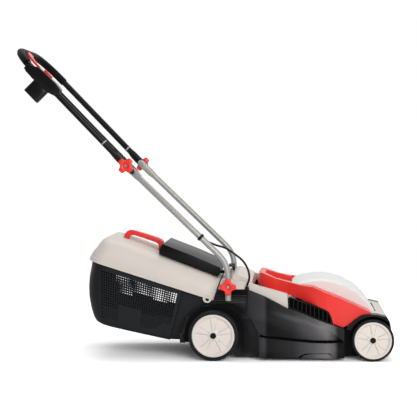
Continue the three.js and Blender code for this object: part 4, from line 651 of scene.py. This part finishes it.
def paint(piece, materialName, degrees=finishValues["sharpDegrees"]):
    piece.data.materials.clear()
    piece.data.materials.append(materials[materialName])
    piece.data.polygons.foreach_set("use_smooth", [True] * len(piece.data.polygons))
    piece.data.set_sharp_from_angle(angle=math.radians(degrees))


def cutWith(piece, tool):
    modifier = piece.modifiers.new("cut", "BOOLEAN")
    modifier.operation = "DIFFERENCE"
    modifier.solver = "EXACT"
    modifier.object = tool
    bake(piece)
    bpy.data.objects.remove(tool)


# Basket: outlines in side view, with rows of holes that run down from the lid's seam.
# Pairs are (share of the depth, x), (x, z) or, for the front and neck, (x at the seam, change to the floor)

boxValues = {
    "rear": (-0.37876, 0.333),
    "tilt": 17.9,
    "rearCurve": [(0, -0.3835), (0.1, -0.387), (0.27, -0.394), (0.44, -0.397), (0.6, -0.3962),
                  (0.78, -0.3897), (0.91, -0.381), (0.97, -0.372), (1, -0.358)],
    "floorCurve": [(-0.41, 0.125), (-0.3245, 0.1085), (-0.2263, 0.0864), (-0.1285, 0.0654), (-0.1152, 0.063),
                   (-0.0538, 0.0638), (-0.0175, 0.059), (0.03, 0.056)],
    "front": (0.027, -0.0445),
    "neck": (-0.070, -0.046),
    "half": 0.168,
    "neckHalf": 0.154,
    "wall": 0.003,
    "neckStep": 0.001,
    "seamGap": 0.002,
    "corner": 0.052,
    "cornerSteps": 10,
    "rearShares": (0.66, 0.33, 0.1),
    "floorRound": 0.012,
    "floorShares": (0.972, 0.984, 0.993, 1.0),
    "panelRear": -0.3565,
    "panelFront": (-0.074, -0.042),
    "columns": 34,
    "rows": 24,
    "holeRadius": 0.0031,
    "holeSides": 10,
    "holeTurn": -135,
    "holeFrom": 0.1,
    "holeTo": [(0.0, 0.86), (0.16, 0.88), (0.68, 0.88), (0.78, 0.84), (0.86, 0.72), (1.0, 0.7)],
    "plainPatch": {"from": 0.25, "to": 0.56, "below": 0.58},
    "openTo": [(0.0, 0.68), (0.6, 0.62), (1.0, 0.58)],
    "pitShare": 0.8,
    "sharpDegrees": 38,
}


def curveAt(points, x):
    for (x0, y0), (x1, y1) in zip(points, points[1:]):
        if x <= x1:
            return y0 + (y1 - y0) * max(x - x0, 0) / (x1 - x0)
    return points[-1][1]


def boxPoint(v, along, rise):
    lean = math.radians(v["tilt"])
    x = v["rear"][0] + along * math.cos(lean) + rise * math.sin(lean)
    return x, v["rear"][1] - along * math.sin(lean) + rise * math.cos(lean)


def seamAt(v, x):
    return v["rear"][1] - math.tan(math.radians(v["tilt"])) * (x - v["rear"][0])


def bothSides(half):
    return [(x, -y, z) for x, y, z in half] + [(x, y, z) for x, y, z in reversed(half)]


def basketRing(v, depthShare, inset):
    radius = v["corner"] - inset
    centreX = curveAt(v["rearCurve"], depthShare) + v["corner"]
    flat = v["half"] - v["corner"]
    edges = ("front", "neck", "panelFront")
    frontX, neckX, panelFront = (v[edge][0] + v[edge][1] * depthShare for edge in edges)
    plan = [(frontX, v["neckHalf"] - inset), (neckX + v["neckStep"] - inset, v["neckHalf"] - inset),
            (neckX - inset, v["half"] - inset)]
    for column in range(v["columns"], -1, -1):
        x = v["panelRear"] + (panelFront - v["panelRear"]) * column / v["columns"]
        bend = max(centreX - x, 0)
        plan.append((x, flat + math.sqrt(max(radius ** 2 - bend ** 2, 0))))
    start = math.asin(min(max(centreX - v["panelRear"], 0) / radius, 1))
    for step in range(1, v["cornerSteps"] + 1):
        angle = start + (math.pi / 2 - start) * step / v["cornerSteps"]
        plan.append((centreX - radius * math.sin(angle), flat + radius * math.cos(angle)))
    plan += [(centreX - radius, flat * share) for share in v["rearShares"]]
    soft = v["floorRound"]
    half = []
    for x, y in plan:
        top = seamAt(v, x) - v["seamGap"]
        height = top - curveAt(v["floorCurve"], x) - inset
        away = height * (1 - depthShare)
        if away < soft:
            y -= soft - math.sqrt(soft ** 2 - (soft - away) ** 2)
        half.append((x, y, top - height * depthShare))
    return bothSides(half)


def buildBasket(v):
    rows = [*(row / v["rows"] for row in range(v["rows"])), *v["floorShares"]]
    points, faces, seen, pits = [], [], {}, []

    def put(point):
        key = tuple(round(value, 6) for value in point)
        if key not in seen:
            seen[key] = len(points)
            points.append(point)
        return seen[key]

    skins = []
    for inset in (0, v["wall"]):
        skins.append([[put(point) for point in basketRing(v, share, inset)] for share in rows])
    outer, inner = skins
    count = len(outer[0])
    firstHole = 3  # after the two points of the neck and the one of the front

    def holeKind(row, column):
        column = min(column, count - 2 - column) - firstHole
        if not 0 < column < v["columns"] - 1:
            return "none"
        depth = (rows[row] + rows[row + 1]) / 2
        along = 1 - (column + 0.5) / v["columns"]
        patch = v["plainPatch"]
        if patch["from"] < along < patch["to"] and depth > patch["below"]:
            return "none"
        if not v["holeFrom"] < depth < curveAt(v["holeTo"], along):
            return "none"
        return "open" if depth < curveAt(v["openTo"], along) else "pit"

    def cell(skin, row, column, hole):
        corners = [skin[row][column], skin[row][column + 1], skin[row + 1][column + 1], skin[row + 1][column]]
        if not hole:
            faces.append(corners)
            return None
        a, b, c, d = (Vector(points[corner]) for corner in corners)
        middle = (a + b + c + d) / 4
        across = ((b + c) - (a + d)).normalized() * v["holeRadius"]
        down = ((c + d) - (a + b)).normalized() * v["holeRadius"]
        ring = []
        for step in range(v["holeSides"]):
            angle = math.radians(v["holeTurn"]) + math.tau * step / v["holeSides"]
            ring.append(put(tuple(middle + across * math.cos(angle) + down * math.sin(angle))))
        marks = [round(v["holeSides"] * quarter / 4) for quarter in range(5)]
        for quarter in range(4):
            arc = [ring[step % v["holeSides"]] for step in range(marks[quarter], marks[quarter + 1] + 1)]
            faces.append([corners[quarter], corners[(quarter + 1) % 4], *reversed(arc)])
        return ring

    for row in range(len(rows) - 1):
        for column in range(count - 1):
            kind = holeKind(row, column)
            mouth = cell(outer, row, column, kind != "none")
            end = cell(inner, row, column, kind == "open")
            if kind == "pit":
                depth = Vector(points[inner[row][column]]) - Vector(points[outer[row][column]])
                end = [put(tuple(Vector(points[k]) + depth * v["pitShare"])) for k in mouth]
                pits.append(len(faces))
                faces.append(end)
            if mouth:
                for step in range(v["holeSides"]):
                    after = (step + 1) % v["holeSides"]
                    faces.append([mouth[step], mouth[after], end[after], end[step]])
        for column in (0, count - 1):
            faces.append([outer[row][column], outer[row + 1][column],
                          inner[row + 1][column], inner[row][column]])
    for column in range(count - 1):
        faces.append([outer[0][column], outer[0][column + 1], inner[0][column + 1], inner[0][column]])
    for skin in skins:
        floor = skin[-1]
        for column in range(count // 2 - 1):
            faces.append([floor[column], floor[column + 1],
                          floor[count - 2 - column], floor[count - 1 - column]])
    faces.append([outer[-1][0], outer[-1][-1], inner[-1][-1], inner[-1][0]])
    basket = meshPiece("basket_shell", points, faces, "basket")
    # the floors of the blind holes get the near-black material: painted shade at the bottom of each pit
    basket.data.materials.append(materials["dark"])
    for pit in pits:
        basket.data.polygons[pit].material_index = 1
    basket.data.set_sharp_from_angle(angle=math.radians(v["sharpDegrees"]))
    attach(basket, "grass_box")
    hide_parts("grass_basket")


buildBasket(boxValues)

# Lid: rings stacked from an inner ceiling out over the rim and up to the crown, with a dish under the grip.
# A ring is (share of the height, inset at the rear, inset at the sides)

lidValues = {
    "rearAlong": -0.011,
    "frontAlong": 0.434,
    "half": 0.176,
    "corner": 0.048,
    "cornerSteps": 12,
    "height": 0.097,
    "fall": [(-0.1, 1), (0.06, 1), (0.1, 0.993), (0.2, 0.935), (0.46, 0.795)],
    "innerRings": [(0.74, 0.06, 0.14), (0.74, 0.045, 0.04), (0.5, 0.0135, 0.0085), (0.0, 0.003, 0.003)],
    "outerRings": [(0.0, -0.002, -0.002), (0.15, -0.002, -0.002), (0.156, -0.0014, -0.0014), (0.165, 0, 0),
                   (0.25, 0.0005, 0.001), (0.33, 0.003, 0.002), (0.40, 0.006, 0.003), (0.50, 0.0105, 0.0055),
                   (0.58, 0.0125, 0.008), (0.66, 0.0150, 0.0112), (0.74, 0.0180, 0.0155),
                   (0.80, 0.0215, 0.0205), (0.86, 0.0260, 0.0275), (0.90, 0.0300, 0.0335),
                   (0.935, 0.036, 0.0425), (0.96, 0.0440, 0.0540), (0.98, 0.055, 0.072), (0.99, 0.066, 0.090),
                   (0.995, 0.073, 0.104), (0.997, 0.077, 0.115), (0.998, 0.079, 0.120), (0.999, 0.081, 0.125),
                   (0.9995, 0.083, 0.130), (1.0, 0.085, 0.135), (1.0, 0.087, 0.141), (1.0, 0.09, 0.152)],
    "innerFront": 0.003,
    "sideSteps": 72,
    "rearShares": (0.8, 0.6, 0.4, 0.2, 0.05),
    "tuck": 0.003,
    "tuckFrom": 0.39,
    "tuckTo": 0.42,
    "dishFrom": 0.058,
    "dishTo": 0.247,
    "dishEase": 0.016,
    "dishSide": (0.041, 0.054),
    "dishDepth": 0.017,
    "dishAbove": 0.9,
    "sharpDegrees": 40,
}
lugValues = {
    "place": (0.0142, 0.2066),
    "from": 0.1735,
    "to": 0.1775,
    "radius": 0.015,
    "holeRadius": 0.0060,
    "holeLift": 0.0034,
    "sides": 48,
    "sharpDegrees": 40,
}


def lidRing(v, box, rise, rearInset, sideInset, inner):
    length = v["frontAlong"] - v["rearAlong"]
    corner = v["corner"]
    plan = [(length * (1 - step / v["sideSteps"]) + corner * step / v["sideSteps"], v["half"])
            for step in range(v["sideSteps"])]
    for step in range(v["cornerSteps"] + 1):
        angle = math.pi / 2 * step / v["cornerSteps"]
        plan.append((corner - corner * math.sin(angle), v["half"] - corner + corner * math.cos(angle)))
    plan += [(0, (v["half"] - corner) * share) for share in v["rearShares"]]
    frontInset = v["innerFront"] if inner else 0
    half = []
    for along, across in plan:
        s = rearInset + along * (1 - (rearInset + frontInset) / length) + v["rearAlong"]
        y = across * (1 - sideInset / v["half"])
        y -= v["tuck"] * smoothStep(s, v["tuckFrom"], v["tuckTo"]) * (across / v["half"])
        height = rise * v["height"] * curveAt(v["fall"], s)
        if not inner and rise > v["dishAbove"]:
            window = smoothStep(s, v["dishFrom"], v["dishFrom"] + v["dishEase"])
            window *= 1 - smoothStep(s, v["dishTo"] - v["dishEase"], v["dishTo"])
            window *= 1 - smoothStep(y, *v["dishSide"])
            height -= v["dishDepth"] * window
        x, z = boxPoint(box, s, height)
        half.append((x, y, z))
    return bothSides(half)


def buildLug(side, v):
    points = []
    for radius, lift, y in ((v["radius"], 0, v["from"]), (v["holeRadius"], v["holeLift"], v["from"]),
                            (v["holeRadius"], v["holeLift"], v["to"]), (v["radius"], 0, v["to"])):
        for step in range(v["sides"]):
            angle = math.tau * step / v["sides"]
            up = radius * math.sin(angle)
            up += lift if up > 0 else -lift
            points.append((v["place"][0] + radius * math.cos(angle), signOf(side) * y, v["place"][1] + up))
    lug = meshPiece(f"lid_lug_{side}", points, ringFaces(4, v["sides"], True), "cream")
    lug.data.set_sharp_from_angle(angle=math.radians(v["sharpDegrees"]))
    return lug


def buildLid(v, box, lug):
    rings = [lidRing(v, box, *ring, True) for ring in v["innerRings"]]
    rings += [lidRing(v, box, *ring, False) for ring in v["outerRings"]]
    count = len(rings[0])
    points = [point for ring in rings for point in ring]
    faces = []
    for level in range(len(rings) - 1):
        low, high = level * count, (level + 1) * count
        for step in range(count - 1):
            faces.append((low + step, low + step + 1, high + step + 1, high + step))
        faces.append((low, high, high + count - 1, low + count - 1))
    for level in (0, len(rings) - 1):
        start = level * count
        for step in range(count // 2 - 1):
            faces.append((start + step, start + step + 1, start + count - 2 - step, start + count - 1 - step))
    lid = meshPiece("lid_shell", points, faces, "cream")
    lid.data.set_sharp_from_angle(angle=math.radians(v["sharpDegrees"]))
    for piece in (lid, buildLug("left", lug), buildLug("right", lug)):
        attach(piece, "grass_box")
        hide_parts("grass_box_lid")


buildLid(lidValues, boxValues, lugValues)

# Moulded pieces whose outer edges are rounded; inner corners stay sharp

softValues = {
    "grip_arch": {"node": "box_grip", "body": "grass_box", "material": "red", "slot": "red_plastic",
                  "width": 0.003, "foldDegrees": 35},
    "flap_panel": {"node": "rear_flap", "body": "flap", "material": "black", "slot": "black_plastic",
                   "width": 0.0025, "foldDegrees": 35},
    "switch_case": {"node": "switch_box", "body": "upper_handle", "material": "gloss",
                    "slot": "black_plastic", "width": 0.004, "foldDegrees": 62},
    "inlet_collar": {"node": "plug_inlet", "body": "upper_handle", "material": "gloss",
                     "slot": "black_plastic", "width": 0.003, "foldDegrees": 60},
}
softSegments = 3
softSharpDegrees = 45


def softCopy(name, v):
    piece = copyOf(v["node"], name)
    shape = bmesh.new()
    shape.from_mesh(piece.data)
    weights = shape.edges.layers.float.new("bevel_weight_edge")
    for edge in shape.edges:
        if len(edge.link_faces) == 2 and edge.calc_face_angle_signed() > math.radians(v["foldDegrees"]):
            edge[weights] = 1
    shape.to_mesh(piece.data)
    shape.free()
    bevel = piece.modifiers.new("soft", "BEVEL")
    bevel.width = v["width"]
    bevel.segments = softSegments
    bevel.limit_method = "WEIGHT"
    bake(piece)
    paint(piece, v["material"], softSharpDegrees)
    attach(piece, v["body"])
    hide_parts(v["node"])


for softName, softValue in softValues.items():
    softCopy(softName, softValue)

# Silver ring round each leg of the upper handle, above its star knob

legRingValues = {
    "pivot": (-0.2503, 0.6561),
    "lean": 133.5,
    "along": {"left": 0.079, "right": 0.105},
    "leg": 0.211,
    "radius": 0.0114,
    "inner": 0.0106,
    "half": 0.0022,
    "sides": 32,
    "sharpDegrees": 50,
}


def buildLegRing(side, v):
    lean = math.radians(v["lean"])
    points = []
    for radius, away in ((v["inner"], -v["half"]), (v["radius"], -v["half"]), (v["radius"], v["half"]),
                         (v["inner"], v["half"])):
        along = v["along"][side] + away
        for step in range(v["sides"]):
            angle = math.tau * step / v["sides"]
            rise = radius * math.cos(angle)
            points.append((v["pivot"][0] + along * math.cos(lean) + rise * math.sin(lean),
                           signOf(side) * v["leg"] + radius * math.sin(angle),
                           v["pivot"][1] + along * math.sin(lean) - rise * math.cos(lean)))
    ring = meshPiece(f"leg_ring_{side}", points, ringFaces(4, v["sides"], True), "silver")
    ring.data.set_sharp_from_angle(angle=math.radians(v["sharpDegrees"]))
    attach(ring, "upper_handle")


for side in ("left", "right"):
    buildLegRing(side, legRingValues)
print("stage: grass box and switch box")

# Deck with room cut for the lid's front corners

deckValues = {
    "outline": [(-0.01, 0.185), (0.031, 0.185), (0.032, 0.199), (0.0376, 0.2037), (0.0665, 0.293),
                (-0.01, 0.3)],
    "from": 0.1685,
    "to": 0.21,
}


def buildDeck(v):
    points, faces = [], []
    count = len(v["outline"])
    for side in ("right", "left"):
        start = len(points)
        for y in (v["from"], v["to"]):
            points += [(x, signOf(side) * y, z) for x, z in v["outline"]]
        block = [range(count), range(count, 2 * count)] + ringFaces(2, count, False)
        faces += [tuple(start + corner for corner in face) for face in block]
    tool = meshPiece("deckRoom", points, faces, "black", smooth=False)
    deck = copyOf("deck_housing", "deck_shell")
    cutWith(deck, tool)
    paint(deck, "deck")
    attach(deck, "mower_body")
    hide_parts("deck_housing")


buildDeck(deckValues)

# Painted shadow lines on the deck's sides, along (x, z): near-black strips standing in for the shade in its
# seam groove and in the gap over the foot pad's edge

seamShadowValues = {
    "line": [(0.1909, 0.0842), (0.2078, 0.0778), (0.263, 0.0746),
             (0.3055, 0.0697), (0.3688, 0.0641), (0.4322, 0.0636), (0.46, 0.066)],
    "below": 0.003,
    "above": 0.006,
    "from": 0.2015,
    "to": 0.2036,
}
footShadowValues = {
    "line": [(0.3194, 0.008), (0.3291, 0.0154), (0.3437, 0.0201),
             (0.4192, 0.0214), (0.4284, 0.0164), (0.4363, 0.0071)],
    "below": 0.001,
    "above": 0.006,
    "from": 0.2058,
    "to": 0.2067,
}


def buildShadowLine(side, name, v):
    sign = signOf(side)
    points = []
    for x, z in v["line"]:
        points += [(x, sign * v["from"], z - v["below"]), (x, sign * v["to"], z - v["below"]),
                   (x, sign * v["to"], z + v["above"]), (x, sign * v["from"], z + v["above"])]
    last = len(points) - 4
    faces = ringFaces(len(v["line"]), 4, False) + [range(4), range(last, last + 4)]
    # near-black strip on the deck's surface: a painted shadow line
    band = meshPiece(f"{name}_{side}", points, faces, "dark", smooth=False)
    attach(band, "mower_body")


for side in ("left", "right"):
    buildShadowLine(side, "seam_shadow_line", seamShadowValues)
    buildShadowLine(side, "foot_shadow_line", footShadowValues)
print("stage: deck")

# Front bumper: one CAD piece cut into a pale middle and two dark fenders

bumperValues = {
    "paleHalf": 0.160,
    "parts": {
        "bumper_middle": {"signs": (-1, 1), "middle": True, "material": "cream", "slot": "cream_plastic"},
        "bumper_left": {"signs": (1,), "middle": False, "material": "black", "slot": "black_plastic"},
        "bumper_right": {"signs": (-1,), "middle": False, "material": "black", "slot": "black_plastic"},
    },
}


def buildBumper(v):
    source = copyOf("front_bumper", "bumper_whole")
    for name, part in v["parts"].items():
        piece = bpy.data.objects.new(name, source.data.copy())
        scene.collection.objects.link(piece)
        shape = bmesh.new()
        shape.from_mesh(piece.data)
        for sign in part["signs"]:
            bmesh.ops.bisect_plane(shape, geom=shape.verts[:] + shape.edges[:] + shape.faces[:],
                                   plane_co=(0, sign * v["paleHalf"], 0), plane_no=(0, sign, 0),
                                   clear_outer=part["middle"], clear_inner=not part["middle"])
            edges = [edge for edge in shape.edges if edge.is_boundary]
            bmesh.ops.holes_fill(shape, edges=edges, sides=0)
        shape.to_mesh(piece.data)
        shape.free()
        turnOut(piece)
        paint(piece, part["material"])
        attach(piece, "mower_body")
        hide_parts("front_bumper")
    bpy.data.objects.remove(source)


buildBumper(bumperValues)

# Star knobs of the handle: lobed body with rounded rims and a recess, and the bolt's nut in it

knobValues = {
    "lobes": 4,
    "lobeFrom": 0.05,
    "lobeTo": 0.8,
    "reach": 0.0275,
    "waist": 0.0190,
    "sides": 96,
    "round": 0.0032,
    "roundMiddle": 0.3,
    "bore": 0.0034,
    "recess": 0.0085,
    "recessRim": 0.0012,
    "rimDepth": 0.001,
    "recessTaper": 0.0006,
    "recessDepth": 0.004,
    "turn": {"lower": 0.0, "upper": 0.84},
    "sharpDegrees": 50,
}
nutValues = {
    "radius": 0.0052,
    "hole": 0.0034,
    "bottom": 0.0038,
    "shoulder": 0.0009,
    "top": 0.0003,
    "chamfer": 0.0007,
    "sides": 6,
    "turn": 0.2,
}


def knobRadius(v, angle):
    lobe = 0.5 + 0.5 * math.cos(v["lobes"] * angle)
    return v["waist"] + (v["reach"] - v["waist"]) * smoothStep(lobe, v["lobeFrom"], v["lobeTo"])


def buildKnob(side, level, v, nut):
    name = f"{side}_{level}_knob"
    low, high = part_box(name)
    centre = (low + high) / 2
    outer, inner = outerAndInner(side, low, high)
    sign = signOf(side)
    soft = v["round"]
    middle = soft * v["roundMiddle"]
    floor = outer - sign * v["recessDepth"]
    rings = [(v["bore"], inner, False), (-soft, inner, True), (-middle, inner + sign * middle, True),
             (0, inner + sign * soft, True), (0, outer - sign * soft, True),
             (-middle, outer - sign * middle, True), (-soft, outer, True),
             (v["recess"] + v["recessRim"], outer, False), (v["recess"], outer - sign * v["rimDepth"], False),
             (v["recess"] - v["recessTaper"], floor, False), (v["bore"], floor, False)]
    points = []
    for radius, y, lobed in rings:
        for step in range(v["sides"]):
            angle = math.tau * step / v["sides"]
            lobe = knobRadius(v, angle - v["turn"][level]) if lobed else 0
            points.append(aroundY(centre, lobe + radius, y, angle))
    knob = meshPiece(name + "_star", points, ringFaces(len(rings), v["sides"], True), "red")
    knob.data.set_sharp_from_angle(angle=math.radians(v["sharpDegrees"]))
    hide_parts(name)
    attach(knob, f"{side}_{level}_knob_body")
    rings = [(nut["hole"], nut["bottom"]), (nut["radius"], nut["bottom"]), (nut["radius"], nut["shoulder"]),
             (nut["radius"] - nut["chamfer"], nut["top"]), (nut["hole"], nut["top"])]
    points = [aroundY(centre, radius, outer - sign * depth, math.tau * step / nut["sides"] + nut["turn"])
              for radius, depth in rings for step in range(nut["sides"])]
    boltNut = meshPiece(name + "_nut", points, ringFaces(len(rings), nut["sides"], True), "steel",
                        smooth=False)
    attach(boltNut, f"{side}_{level}_knob_body")


for side in ("left", "right"):
    for level in ("lower", "upper"):
        buildKnob(side, level, knobValues, nutValues)
print("stage: knobs")

# Painted shade behind each vent grille: a near-black sheet, the grille's own hull flattened and set back, so
# the gaps between the slats read as shadow

ventShadeValues = {"setBack": 0.007, "thickness": 0.001}


def buildVentShade(side, v):
    plate = copyOf(f"{side}_vent_grille", f"vent_shade_sheet_{side}")
    shape = bmesh.new()
    shape.from_mesh(plate.data)
    middle = sum(vert.co.y for vert in shape.verts) / len(shape.verts)
    hull = bmesh.ops.convex_hull(shape, input=shape.verts)
    keep = {item for item in hull["geom"] if isinstance(item, bmesh.types.BMFace)}
    inside = [face for face in shape.faces if face not in keep]
    bmesh.ops.delete(shape, geom=inside, context="FACES_KEEP_BOUNDARY")
    bmesh.ops.delete(shape, geom=[vert for vert in shape.verts if not vert.link_faces], context="VERTS")
    for vert in shape.verts:
        away = 0.5 if vert.co.y > middle else -0.5
        vert.co.y = middle - signOf(side) * v["setBack"] + away * v["thickness"]
    shape.to_mesh(plate.data)
    shape.free()
    turnOut(plate)
    paint(plate, "dark")
    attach(plate, "mower_body")


for side in ("left", "right"):
    buildVentShade(side, ventShadeValues)
print("stage: bumper and vents")
